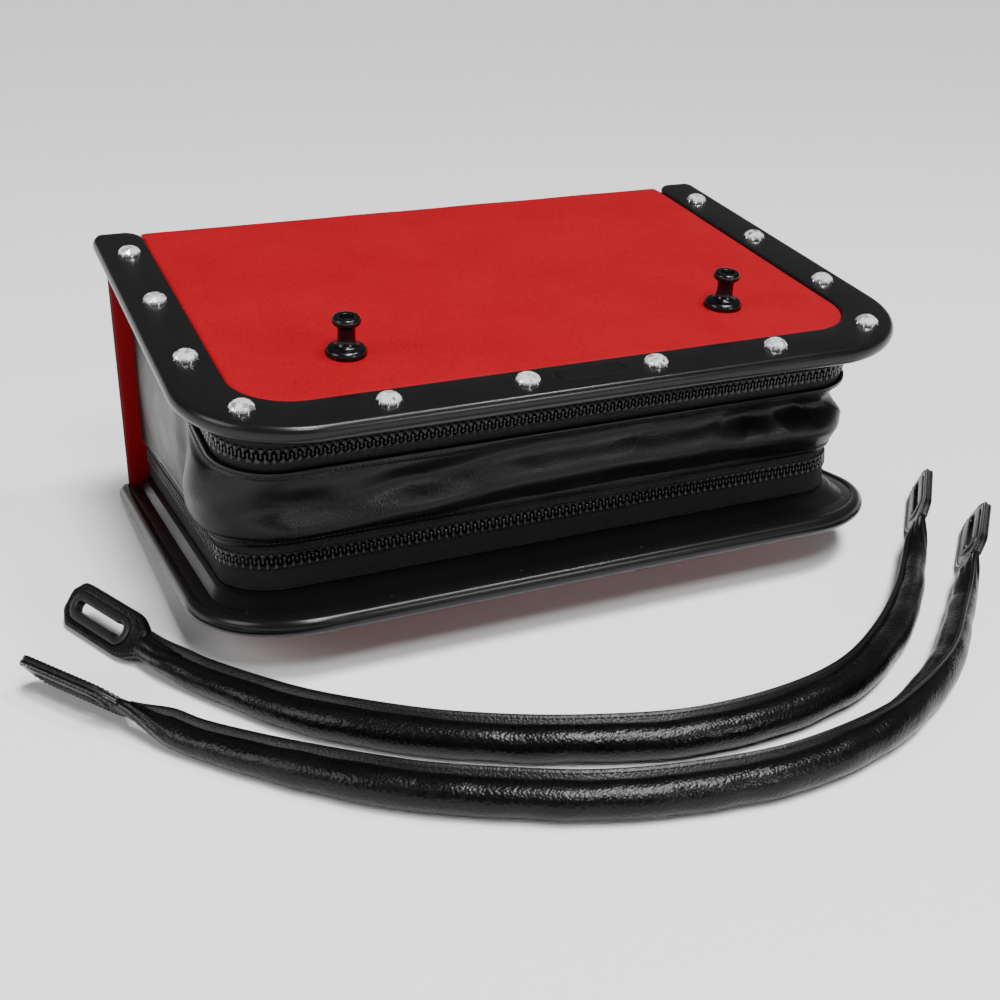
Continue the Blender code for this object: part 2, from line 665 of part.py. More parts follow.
def main():
    clear_scene()
    bag = Bag()
    bpy.context.view_layer.update()
    for side, pivot in (("bottom", bag.bottom), ("top", bag.top)):
        build_frame(bag, side, pivot)
        build_buttons(bag, side, pivot)
    build_zip(bag, "lower_zip", bag.bottom)
    build_zip(bag, "upper_zip", bag.top)
    build_studs(bag, bag.top)
    build_spine(bag)
    build_gusset(bag)
    build_divider(bag)
    build_slider(bag, "lower_slider", bag.bottom, 1)
    build_slider(bag, "upper_slider", bag.top_upright, -1)
    for name in HANDLE_ROUTES:
        build_handle(bag, name)


main()
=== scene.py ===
"""Looks of a drum stick bag: two hard panels, two zips, a leather gusset and a pair of button-on handles.

Every surface is worked out as a grid of points from a path and a profile, in metres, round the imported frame.
"""

import json
import logging
from dataclasses import dataclass
from enum import Enum
from math import atan2, cos, pi, radians, sin

import bpy
import numpy as np
from mathutils import Matrix, Vector


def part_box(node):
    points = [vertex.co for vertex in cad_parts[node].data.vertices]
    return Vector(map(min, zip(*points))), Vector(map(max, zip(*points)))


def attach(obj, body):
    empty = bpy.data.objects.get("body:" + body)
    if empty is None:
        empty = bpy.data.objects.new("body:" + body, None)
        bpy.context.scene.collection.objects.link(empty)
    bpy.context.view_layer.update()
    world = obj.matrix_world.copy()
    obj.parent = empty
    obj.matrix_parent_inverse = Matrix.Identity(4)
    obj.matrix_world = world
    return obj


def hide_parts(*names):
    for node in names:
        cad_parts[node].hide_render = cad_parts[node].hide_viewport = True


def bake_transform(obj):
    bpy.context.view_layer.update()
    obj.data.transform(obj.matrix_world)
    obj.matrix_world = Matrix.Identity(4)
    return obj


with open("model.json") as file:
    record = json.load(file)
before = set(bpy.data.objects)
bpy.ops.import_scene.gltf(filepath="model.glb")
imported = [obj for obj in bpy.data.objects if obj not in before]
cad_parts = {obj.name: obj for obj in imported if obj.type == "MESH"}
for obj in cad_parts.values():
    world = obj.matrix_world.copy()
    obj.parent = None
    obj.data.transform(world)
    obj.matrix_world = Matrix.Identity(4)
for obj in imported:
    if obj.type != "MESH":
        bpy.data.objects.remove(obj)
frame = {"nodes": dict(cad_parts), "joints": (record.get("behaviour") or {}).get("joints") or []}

log = logging.getLogger("drum_stick_bag")
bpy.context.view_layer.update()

MM = 0.001
JOINTS = {joint["name"]: joint for joint in frame["joints"]}


# ---------------------------------------------------------------------------------------------------------
# Sizes shared by the pieces


@dataclass(frozen=True)
class PanelSizes:
    """Plan and heights of a panel. Heights are measured inward from its outer face."""

    width: float = 470 * MM
    depth: float = 313 * MM
    corner: float = 70.5 * MM
    border: float = 33 * MM
    thick: float = 11.2 * MM
    bullnose: float = 4.6 * MM
    groove: float = 7.4 * MM
    border_floor: float = 4.6 * MM
    board_top: float = 7.8 * MM
    ledge: float = 10.6 * MM
    crest: float = 16.6 * MM
    zip_centre: float = 35 * MM
    rail_rear: float = -9.2 * MM
    middle_rear: float = -12.2 * MM


@dataclass(frozen=True)
class WallSizes:
    """The U that the zips and the gusset follow."""

    half: float = 211 * MM
    front: float = 38.2 * MM
    corner: float = 36 * MM
    tape: float = 1.5 * MM
    leather_from: float = 44.5 * MM
    leather_out: float = 2.4 * MM
    pitch: float = 4.75 * MM
    chain: float = 9.6 * MM


PANEL = PanelSizes()
WALL = WallSizes()


class Side(Enum):
    """Which panel a piece belongs to, with the joint that its pivot and slope are read from."""

    BOTTOM = ("bottom", "bottom_panel", "lower_hinge", "lower_slider_travel")
    TOP = ("top", "top_panel", "upper_hinge", "upper_slider_travel")

    @property
    def word(self) -> str:
        """First word of the piece names."""
        return self.value[0]

    @property
    def zip_word(self) -> str:
        """First words of the zip's piece names."""
        return "lower_zip" if self is Side.BOTTOM else "upper_zip"

    @property
    def body(self) -> str:
        """CAD body of this panel."""
        return self.value[1]

    @property
    def pivot(self) -> np.ndarray:
        """Point of the rear edge's hinge."""
        return np.array(JOINTS[self.value[2]]["pos_m"])

    @property
    def slope(self) -> float:
        """Turn about X that lays the panel's front-to-back line along the slider's travel."""
        axis = JOINTS[self.value[3]]["axis"]
        return -atan2(axis[2], -axis[1])

    def turn(self, vectors: np.ndarray) -> np.ndarray:
        """Turn directions from the panel's own axes (x right, y back, z into the bag) to the row frame.

        Args:
            vectors: Array whose last axis holds x, y, z.
        Returns:
            The turned array. The top panel is the bottom one turned half a turn about Y.
        """
        flip = -1.0 if self is Side.TOP else 1.0
        x, y, z = (np.asarray(vectors, float)[..., i] for i in range(3))
        x, z = flip * x, flip * z
        c, s = cos(self.slope), sin(self.slope)
        return np.stack([x, y * c - z * s, y * s + z * c], -1)

    def place(self, points: np.ndarray) -> np.ndarray:
        """Place points given in the panel's own axes into the row frame."""
        return self.turn(points) + self.pivot


# ---------------------------------------------------------------------------------------------------------
# Outlines, profiles and paths


def rounded(corners: list, closed: bool = False, steps: int = 4) -> np.ndarray:
    """Round the corners of a polyline.

    Each corner with a radius becomes a quadratic curve from the point that far before it to the point that
    far after it, with the corner as its control point.

    Args:
        corners: Rows of coordinates in any dimension, each followed by its radius.
        closed: Whether the last corner joins the first.
        steps: Segments in each rounded corner.
    Returns:
        The points, one row each.
    """
    table = np.array(corners, float)
    points, radii = table[:, :-1], table[:, -1]
    out = []
    for i, (corner, radius) in enumerate(zip(points, radii)):
        if radius <= 0 or (not closed and i in (0, len(points) - 1)):
            out.append(corner)
            continue
        before, after = points[i - 1] - corner, points[(i + 1) % len(points)] - corner
        start = corner + before * min(radius / np.linalg.norm(before), 0.49)
        end = corner + after * min(radius / np.linalg.norm(after), 0.49)
        t = np.linspace(0, 1, steps + 1)[:, None]
        out.extend((1 - t) ** 2 * start + 2 * t * (1 - t) * corner + t**2 * end)
    return np.array(out)


def u_route(half: float, front: float, radius: float, rear: float) -> tuple[np.ndarray, np.ndarray]:
    """A U in plan, from rear left round the front to rear right, crowded towards its rear ends.

    Args:
        half: Half of the width.
        front: Distance of the front stretch from the panel's front edge.
        radius: Corner radius.
        rear: Where the sides end, on y.
    Returns:
        Plan points and their outward normals, as two (n, 2) arrays.
    """
    near_x, near_y = half - radius, front + radius - PANEL.depth
    side_y = rear + (near_y - rear) * np.linspace(0, 1, 34, endpoint=False) ** 2
    bend = np.linspace(0, pi / 2, 25)
    across = np.linspace(-near_x, near_x, 42)[1:-1]
    angle = np.concatenate([np.full(34, pi), pi + bend, np.full(40, 1.5 * pi), 1.5 * pi + bend,
                            np.full(34, 2 * pi)])
    normal = np.stack([np.cos(angle), np.sin(angle)], -1)
    left = np.stack([np.full(34, -half), side_y], -1)
    centre = np.array([near_x, near_y])
    bend_left = centre * (-1, 1) + radius * normal[34:59]
    front_line = np.stack([across, np.full(40, front - PANEL.depth)], -1)
    bend_right = centre + radius * normal[99:124]
    right = (left * (-1, 1))[::-1]
    return np.concatenate([left, bend_left, front_line, bend_right, right]), normal


def rim_route(rear: float) -> tuple[np.ndarray, np.ndarray]:
    """The U of a panel's edge."""
    return u_route(PANEL.width / 2, 0, PANEL.corner, rear)


def wall_route(rear: float, outward: float = 0.0) -> tuple[np.ndarray, np.ndarray]:
    """The U of the zip wall, moved outward."""
    return u_route(WALL.half + outward, WALL.front - outward, WALL.corner + outward, rear)


def sweep(route: tuple[np.ndarray, np.ndarray], profile: np.ndarray) -> np.ndarray:
    """Carry a profile along a plan route.

    A point is the route's point, less its outward normal times the profile's inset, at the profile's height.

    Args:
        route: Plan points and outward normals.
        profile: Rows of inset and height.
    Returns:
        Points of shape (along, round, 3).
    """
    points, normals = route
    plan = points[:, None, :] - normals[:, None, :] * profile[None, :, :1]
    height = np.broadcast_to(profile[None, :, 1:2], (*plan.shape[:2], 1))
    return np.concatenate([plan, height], -1)


def smooth_path(points: np.ndarray, step: float) -> np.ndarray:
    """Evenly spaced points on the Catmull-Rom curve through given points.

    Args:
        points: Rows of coordinates.
        step: Wanted spacing.
    Returns:
        The spaced points.
    """
    ends = np.concatenate([[2 * points[0] - points[1]], points, [2 * points[-1] - points[-2]]])
    a, b, c, d = (ends[i : len(ends) - 3 + i, None, :] for i in range(4))
    t = np.linspace(0, 1, 24, endpoint=False)[None, :, None]
    curve = 0.5 * (2 * b + (c - a) * t + (2 * a - 5 * b + 4 * c - d) * t**2 + (3 * b - a - 3 * c + d) * t**3)
    return spaced(np.concatenate([curve.reshape(-1, points.shape[1]), points[-1:]]), step)


def spaced(points: np.ndarray, step: float, lead: int = 3) -> np.ndarray:
    """Rows at even distances along a polyline, by linear interpolation on its running length.

    Args:
        points: Rows of coordinates, which may carry more columns, such as a normal.
        step: Wanted spacing.
        lead: How many of the first columns are coordinates.
    Returns:
        The rows, with every column interpolated.
    """
    run = np.concatenate([[0], np.cumsum(np.linalg.norm(np.diff(points[:, :lead], axis=0), axis=1))])
    count = max(int(round(run[-1] / step)), 2)
    at = np.linspace(0, run[-1], count + 1)
    return np.stack([np.interp(at, run, points[:, i]) for i in range(points.shape[1])], -1)


def unit(vectors: np.ndarray) -> np.ndarray:
    """Vectors scaled to length one along the last axis."""
    return vectors / np.maximum(np.linalg.norm(vectors, axis=-1, keepdims=True), 1e-12)


def smoothstep(x: np.ndarray, low: float, high: float) -> np.ndarray:
    """A soft step: 0 below low, 1 above high, and 3t^2 - 2t^3 between."""
    t = np.clip((x - low) / (high - low), 0, 1)
    return t * t * (3 - 2 * t)


def ripples(u: np.ndarray, v: np.ndarray, size: float, seed: int, waves: int = 7) -> np.ndarray:
    """Smooth seeded unevenness: a sum of plane waves of random heading, phase and length.

    Args:
        u: First coordinate.
        v: Second coordinate, which broadcasts with the first.
        size: Middling wavelength.
        seed: Seed of the draw.
        waves: How many waves are summed.
    Returns:
        Values between about -1 and 1.
    """
    draw = np.random.default_rng(seed)
    total = np.zeros(np.broadcast(u, v).shape)
    for _ in range(waves):
        heading, phase, stretch = draw.uniform(0, 2 * pi), draw.uniform(0, 2 * pi), draw.uniform(0.6, 1.7)
        total += np.sin((u * cos(heading) + v * sin(heading)) * 2 * pi / (size * stretch) + phase)
    return total / waves**0.5 / 1.4


# ---------------------------------------------------------------------------------------------------------
# Meshes


def make_object(name: str, points: np.ndarray, faces: list, uv: np.ndarray | None = None) -> bpy.types.Object:
    """A mesh object at the origin.

    Args:
        name: Piece name.
        points: Rows of coordinates in the row frame.
        faces: Lists of corner indices.
        uv: One row for each face corner, in face order, in metres.
    Returns:
        The linked object, smooth shaded with edges over 40 degrees kept sharp.
    """
    mesh = bpy.data.meshes.new(name)
    mesh.from_pydata(points.reshape(-1, 3).tolist(), [], faces)
    if uv is not None:
        mesh.uv_layers.new(name="cloth")
        mesh.uv_layers["cloth"].data.foreach_set("uv", uv.astype(np.float32).ravel())
    mesh.shade_smooth()
    mesh.set_sharp_from_angle(angle=radians(40))
    mesh.update()
    obj = bpy.data.objects.new(name, mesh)
    bpy.context.scene.collection.objects.link(obj)
    return obj


def skin(name: str, points: np.ndarray, loop: bool = False) -> bpy.types.Object:
    """A mesh over a grid of points, with UVs that hold the real lengths along it and round it.

    Args:
        name: Piece name.
        points: Array of shape (along, round, 3). The last column joins the first.
        loop: Whether the last row joins the first too; otherwise both ends are filled.
    Returns:
        The object, a closed solid whose faces are turned outwards by the sign of its volume.
    """
    rows, cols = points.shape[:2]
    strips = np.arange(rows if loop else rows - 1)
    i, j = (a.ravel() for a in np.meshgrid(strips, np.arange(cols), indexing="ij"))
    k, n = (j + 1) % cols, (i + 1) % rows
    quads = np.stack([i * cols + j, i * cols + k, n * cols + k, n * cols + j], 1)
    lengths = np.linalg.norm(np.roll(points, -1, axis=0) - points, axis=2).mean(1)
    along = np.concatenate([[0], np.cumsum(lengths)])
    ring = np.concatenate([points, points[:, :1]], 1)
    around = np.concatenate([[0], np.cumsum(np.linalg.norm(np.diff(ring, axis=1), axis=2).mean(0))])
    uv = np.stack([np.stack([along[i], along[i], along[i + 1], along[i + 1]], 1),
                   np.stack([around[j], around[j + 1], around[j + 1], around[j]], 1)], -1)
    flat = points.reshape(-1, 3)
    corners = [flat[quads[:, n]] for n in range(4)]
    volume = np.einsum("ij,ij->", corners[0], np.cross(corners[1], corners[2]))
    volume += np.einsum("ij,ij->", corners[0], np.cross(corners[2], corners[3]))
    ends = [] if loop else [list(range(cols))[::-1], list(range((rows - 1) * cols, rows * cols))]
    for end in ends:
        ring = flat[end]
        apex = np.broadcast_to(ring[0], ring[1:-1].shape)
        volume += np.einsum("ij,ij->", apex, np.cross(ring[1:-1], ring[2:]))
    if volume < 0:
        quads, uv = quads[:, ::-1], uv[:, ::-1]
        ends = [end[::-1] for end in ends]
    pad = [np.zeros((len(end), 2)) for end in ends]
    return make_object(name, flat, quads.tolist() + ends, np.concatenate([uv.reshape(-1, 2), *pad]))


def turned(name: str, profile: np.ndarray, origin: np.ndarray, axes: np.ndarray,
           steps: int = 48) -> bpy.types.Object:
    """A solid turned about its own third axis.

    Args:
        name: Piece name.
        profile: Rows of radius and height, from the axis, down the outside, back to the axis.
        origin: Where height 0 is.
        axes: Three rows: the piece's own x, y and z in the row frame.
        steps: Segments in a turn.
    Returns:
        The object. Each row of the grid is the profile at one angle: radius times (cos, sin), and its height.
    """
    angle = np.linspace(0, 2 * pi, steps, endpoint=False)[:, None]
    inner = profile[1:-1]
    local = np.stack([inner[:, 0] * np.cos(angle), inner[:, 0] * np.sin(angle),
                      np.broadcast_to(inner[:, 1], (steps, len(inner)))], -1)
    ends = np.array([[0, 0, profile[0, 1]], [0, 0, profile[-1, 1]]])
    points = np.concatenate([local.transpose(1, 0, 2).reshape(-1, 3), ends]) @ axes + origin
    rows = len(inner)
    i, j = (a.ravel() for a in np.meshgrid(np.arange(rows - 1), np.arange(steps), indexing="ij"))
    k = (j + 1) % steps
    faces = np.stack([i * steps + j, (i + 1) * steps + j, (i + 1) * steps + k, i * steps + k], 1).tolist()
    around = range(steps)
    first, last = rows * steps, rows * steps + 1
    base = (rows - 1) * steps
    faces += [[first, j, (j + 1) % steps] for j in around]
    faces += [[last, base + (j + 1) % steps, base + j] for j in around]
    return make_object(name, points, faces)


def scatter(name: str, shape: tuple[np.ndarray, list], origins: np.ndarray,
            axes: np.ndarray) -> bpy.types.Object:
    """Many copies of one small shape as one mesh.

    Args:
        name: Piece name.
        shape: The shape's points and faces in its own axes.
        origins: Where each copy goes, (n, 3).
        axes: Each copy's own x, y and z in the row frame, (n, 3, 3).
    Returns:
        The object. A copy's points are the shape's coordinates times its axes, plus its origin.
    """
    points, faces = shape
    copies = np.einsum("pi,nij->npj", points, axes) + origins[:, None, :]
    shifts = (np.arange(len(origins)) * len(points)).tolist()
    shifted = [[shift + corner for corner in face] for shift in shifts for face in faces]
    return make_object(name, copies, shifted)


def ring_quads(rings: int, sides: int) -> list:
    """Quads between neighbouring rings, whose points are numbered one ring after another.

    Args:
        rings: Number of rings.
        sides: Points in each ring.
    Returns:
        Lists of four corner indices.
    """
    quads = []
    for r in range(rings - 1):
        low, high = r * sides, (r + 1) * sides
        quads += [[low + j, low + (j + 1) % sides, high + (j + 1) % sides, high + j] for j in range(sides)]
    return quads


def bar_shape(sections: list, sides: int = 8, power: float = 4.0) -> tuple[np.ndarray, list]:
    """A short bar along its own z: each section is a rounded rectangle |x/a|^p + |y/b|^p = 1 at its height.

    Args:
        sections: Rows of height, half-width a and half-thickness b.
        sides: Points in each section.
        power: Squareness.
    Returns:
        Points and faces.
    """
    angle = (np.arange(sides) + 0.5) * 2 * pi / sides
    c, s = np.cos(angle), np.sin(angle)
    reach = (np.abs(c) ** power + np.abs(s) ** power) ** (-1 / power)
    rings = [np.stack([a * reach * c, b * reach * s, np.full(sides, z)], -1) for z, a, b in sections]
    top = (len(sections) - 1) * sides
    ends = [list(range(sides))[::-1], list(range(top, top + sides))]
    return np.concatenate(rings), ring_quads(len(sections), sides) + ends


def stitch_shape(length: float, radius: float) -> tuple[np.ndarray, list]:
    """One stitch along its own x: a thread that rises from its hole, lies flat and dives into the next.

    Its height and its thickness both fall off by the fourth power of the distance from its middle.

    Args:
        length: From hole to hole.
        radius: Radius of the thread.
    Returns:
        Points and faces.
    """
    rings, sides = 5, 6
    t = np.linspace(-1, 1, rings)
    angle = np.arange(sides) * 2 * pi / sides
    thick = radius * (1 - 0.5 * t**4)
    middle = np.stack([t * length / 2, 0 * t, radius * (0.7 - 1.3 * t**4)], -1)
    ring = np.stack([0 * angle, np.cos(angle), np.sin(angle)], -1)
    points = (middle[:, None] + ring[None] * thick[:, None, None]).reshape(-1, 3)
    faces = [[a, d, c, b] for a, b, c, d in ring_quads(rings, sides)]
    first, last = list(range(sides)), list(range((rings - 1) * sides, rings * sides))
    return points, faces + [first, last[::-1]]


def stitch_line(name: str, points: np.ndarray, normals: np.ndarray, pitch: float = 3.0 * MM,
                radius: float = 0.38 * MM) -> bpy.types.Object:
    """A row of stitches along a line on a surface.

    Args:
        name: Piece name.
        points: The line in the row frame.
        normals: The surface's outward normal at each point.
        pitch: Distance from stitch to stitch.
        radius: Radius of the thread.
    Returns:
        The stitches as one object.
    """
    both = spaced(np.concatenate([points, normals], 1), pitch)
    at = (both[:-1] + both[1:]) / 2
    along = unit(both[1:, :3] - both[:-1, :3])
    up = unit(at[:, 3:] - along * np.sum(at[:, 3:] * along, 1, keepdims=True))
    axes = np.stack([along, np.cross(up, along), up], 1)
    return scatter(name, stitch_shape(0.86 * pitch, radius), at[:, :3], axes)


def finish_piece(obj: bpy.types.Object, body: str, material: bpy.types.Material, slot: str,
                 *nodes: str) -> bpy.types.Object:
    """Dress a piece and hang it on its body.

    Args:
        obj: The piece.
        body: CAD body that it rides on.
        material: Its finish.
        slot: The record's material slot; not used.
        nodes: CAD nodes that it stands for.
    Returns:
        The piece.
    """
    obj.data.materials.clear()
    obj.data.materials.append(material)
    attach(obj, body)
    if nodes:
        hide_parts(*nodes)
    log.info("%s: %d faces on %s", obj.name, len(obj.data.polygons), body)
    return obj


# ---------------------------------------------------------------------------------------------------------
# Finishes


def linear(code: str) -> tuple[float, float, float, float]:
    """The linear colour of an sRGB hex value, with full alpha."""
    parts = [int(code[i : i + 2], 16) / 255 for i in (1, 3, 5)]
    return (*(p / 12.92 if p <= 0.04045 else ((p + 0.055) / 1.055) ** 2.4 for p in parts), 1.0)


def add(tree: bpy.types.NodeTree, kind: str, settings: dict, links: dict | None = None) -> bpy.types.Node:
    """Add one shader node.

    Args:
        tree: The material's node tree.
        kind: Node type name.
        settings: Properties by name, and input defaults by input name or number.
        links: Output sockets to join, by input name or number.
    Returns:
        The node.
    """
    node = tree.nodes.new(kind)
    for key, value in settings.items():
        if isinstance(key, str) and hasattr(node, key):
            setattr(node, key, value)
        else:
            node.inputs[key].default_value = value
    for key, socket in (links or {}).items():
        tree.links.new(socket, node.inputs[key])
    return node


@dataclass(frozen=True)
class Finish:
    """A surface with one colour, its darker or lighter partner, and a base gloss.

    The partner is mixed in by a soft noise, which keeps a large area from looking like one flat tone.
    """

    name: str
    colour: str
    partner: str
    roughness: float
    spread: float = 0.06
    patch: float = 40 * MM
    metallic: float = 0.0
    coat: float = 0.0
    sheen: float = 0.0
    gleam: float = 0.5

    def make(self) -> bpy.types.Material:
        """Make the material.

        Returns:
            The finished material.
        """
        material = bpy.data.materials.new(self.name)
        material.use_nodes = True
        tree = material.node_tree
        shader = tree.nodes["Principled BSDF"]
        shader.inputs["Metallic"].default_value = self.metallic
        shader.inputs["Specular IOR Level"].default_value = self.gleam
        shader.inputs["Coat Weight"].default_value = self.coat
        shader.inputs["Coat Roughness"].default_value = 0.12
        shader.inputs["Sheen Weight"].default_value = self.sheen
        shader.inputs["Sheen Roughness"].default_value = 0.45
        place = add(tree, "ShaderNodeTexCoord", {})
        cloud = add(tree, "ShaderNodeTexNoise", {"Scale": 1 / self.patch, "Detail": 4.0, "Roughness": 0.6},
                    {"Vector": place.outputs["Object"]})
        tone = add(tree, "ShaderNodeMix",
                   {"data_type": "RGBA", 6: linear(self.colour), 7: linear(self.partner)},
                   {0: cloud.outputs["Fac"]})
        gloss = add(tree, "ShaderNodeMapRange",
                    {"From Min": 0.3, "From Max": 0.7, "To Min": self.roughness - self.spread,
                     "To Max": self.roughness + self.spread}, {"Value": cloud.outputs["Fac"]})
        colour, height = self.pattern(tree, place, tone.outputs[2])
        tree.links.new(colour, shader.inputs["Base Color"])
        tree.links.new(gloss.outputs["Result"], shader.inputs["Roughness"])
        if height:
            tree.links.new(height, shader.inputs["Normal"])
        return material

    def pattern(self, tree: bpy.types.NodeTree, place: bpy.types.Node, tone: bpy.types.NodeSocket) -> tuple:
        """A plain finish keeps its tone and has no relief.

        Args:
            tree: The material's node tree.
            place: Texture coordinates.
            tone: The colour so far.
        Returns:
            The colour socket, and the normal socket or None.
        """
        return tone, None


@dataclass(frozen=True)
class Moulded(Finish):
    """Injection-moulded plastic: the mould's spark-eroded skin breaks its highlights into fine speckle."""

    grain: float = 0.9 * MM
    relief: float = 0.02 * MM

    def pattern(self, tree: bpy.types.NodeTree, place: bpy.types.Node, tone: bpy.types.NodeSocket) -> tuple:
        """Fine noise as relief.

        Args:
            tree: The material's node tree.
            place: Texture coordinates.
            tone: The colour so far.
        Returns:
            The colour socket, and the normal socket or None.
        """
        speck = add(tree, "ShaderNodeTexNoise", {"Scale": 1 / self.grain, "Detail": 3.0},
                    {"Vector": place.outputs["Object"]})
        bump = add(tree, "ShaderNodeBump", {"Strength": 1.0, "Distance": self.relief},
                   {"Height": speck.outputs["Fac"]})
        return tone, bump.outputs["Normal"]


@dataclass(frozen=True)
class Leather(Finish):
    """Embossed cowhide: rounded pebbles with darker valleys between them, over broad soft creases."""

    valley: str = "#000000"
    depth: float = 0.55
    grain: float = 1.3 * MM
    relief: float = 0.12 * MM
    crease: float = 14 * MM
    crease_relief: float = 0.25 * MM

    def pattern(self, tree: bpy.types.NodeTree, place: bpy.types.Node, tone: bpy.types.NodeSocket) -> tuple:
        """Cells pushed about by noise make the pebbles; their borders are the valleys.

        Args:
            tree: The material's node tree.
            place: Texture coordinates.
            tone: The colour so far.
        Returns:
            The colour socket, and the normal socket or None.
        """
        at = place.outputs["Object"]
        push = add(tree, "ShaderNodeTexNoise", {"Scale": 0.6 / self.grain, "Detail": 2.0}, {"Vector": at})
        moved = add(tree, "ShaderNodeVectorMath", {"operation": "MULTIPLY_ADD", 1: (0.8 * self.grain,) * 3},
                    {0: push.outputs["Color"], 2: at})
        cells = add(tree, "ShaderNodeTexVoronoi", {"feature": "F1", "Scale": 1 / self.grain},
                    {"Vector": moved.outputs[0]})
        folds = add(tree, "ShaderNodeTexNoise", {"Scale": 1 / self.crease, "Detail": 3.0, "Distortion": 0.6},
                    {"Vector": at})
        edge = add(tree, "ShaderNodeMapRange",
                   {"From Min": 0.45, "From Max": 0.95, "To Min": 0.0, "To Max": self.depth},
                   {"Value": cells.outputs["Distance"]})
        colour = add(tree, "ShaderNodeMix", {"data_type": "RGBA", 7: linear(self.valley)},
                     {0: edge.outputs["Result"], 6: tone})
        broad = add(tree, "ShaderNodeBump", {"Strength": 1.0, "Distance": self.crease_relief},
                    {"Height": folds.outputs["Fac"]})
        pebble = add(tree, "ShaderNodeBump", {"Strength": 1.0, "Distance": self.relief, "invert": True},
                     {"Height": cells.outputs["Distance"], "Normal": broad.outputs["Normal"]})
        return colour.outputs[2], pebble.outputs["Normal"]


@dataclass(frozen=True)
class Woven(Finish):
    """Woven tape or cloth: warp ribs along the piece crossed by weft ribs, read from the piece's own UV map.

    Real zip tape has about 0.6 mm between ribs; they are drawn a little coarser so that they can be seen.
    """

    warp: float = 1.2 * MM
    weft: float = 1.0 * MM
    relief: float = 0.15 * MM
    source: str = "UV"

    def pattern(self, tree: bpy.types.NodeTree, place: bpy.types.Node, tone: bpy.types.NodeSocket) -> tuple:
        """The product of two band patterns, as relief and as a painted highlight: a lighter tone on the
        threads' crowns.

        Args:
            tree: The material's node tree.
            place: Texture coordinates.
            tone: The colour so far.
        Returns:
            The colour socket, and the normal socket or None.
        """
        at = place.outputs[self.source]
        waves = [add(tree, "ShaderNodeTexWave",
                     {"bands_direction": axis, "Scale": pi / 10 / size, "Distortion": 0.4, "Detail": 1.0},
                     {"Vector": at})
                 for axis, size in (("X", self.weft), ("Y", self.warp))]
        top = add(tree, "ShaderNodeMath", {"operation": "MULTIPLY"},
                  {0: waves[0].outputs["Fac"], 1: waves[1].outputs["Fac"]})
        # Painted highlight: a lighter grey mixed in where the threads' crowns stand up
        light = add(tree, "ShaderNodeMix", {"data_type": "RGBA", 7: linear("#1E1E20")},
                    {0: top.outputs[0], 6: tone})
        bump = add(tree, "ShaderNodeBump", {"Strength": 1.0, "Distance": self.relief},
                   {"Height": top.outputs[0]})
        return light.outputs[2], bump.outputs["Normal"]


@dataclass(frozen=True)
class Foiled(Finish):
    """Cut crystal over silver foil: each back facet mirrors another part of the room, so tones differ; these
    reflections are painted, as cells of dark tone.
    """

    facet: float = 2.6 * MM

    def pattern(self, tree: bpy.types.NodeTree, place: bpy.types.Node, tone: bpy.types.NodeSocket) -> tuple:
        """Cells of random tone, mixed into the silver as painted reflections.

        Args:
            tree: The material's node tree.
            place: Texture coordinates.
            tone: The colour so far.
        Returns:
            The colour socket, and the normal socket or None.
        """
        cells = add(tree, "ShaderNodeTexVoronoi", {"feature": "F1", "Scale": 1 / self.facet},
                    {"Vector": place.outputs["Object"]})
        pick = add(tree, "ShaderNodeMapRange",
                   {"From Min": 0.1, "From Max": 0.45, "To Min": 0.85, "To Max": 0.0},
                   {"Value": cells.outputs["Color"]})
        # Painted reflections: dark grey mixed into the silver in random cells
        colour = add(tree, "ShaderNodeMix", {"data_type": "RGBA", 7: linear("#26282C")},
                     {0: pick.outputs["Result"], 6: tone})
        return colour.outputs[2], None


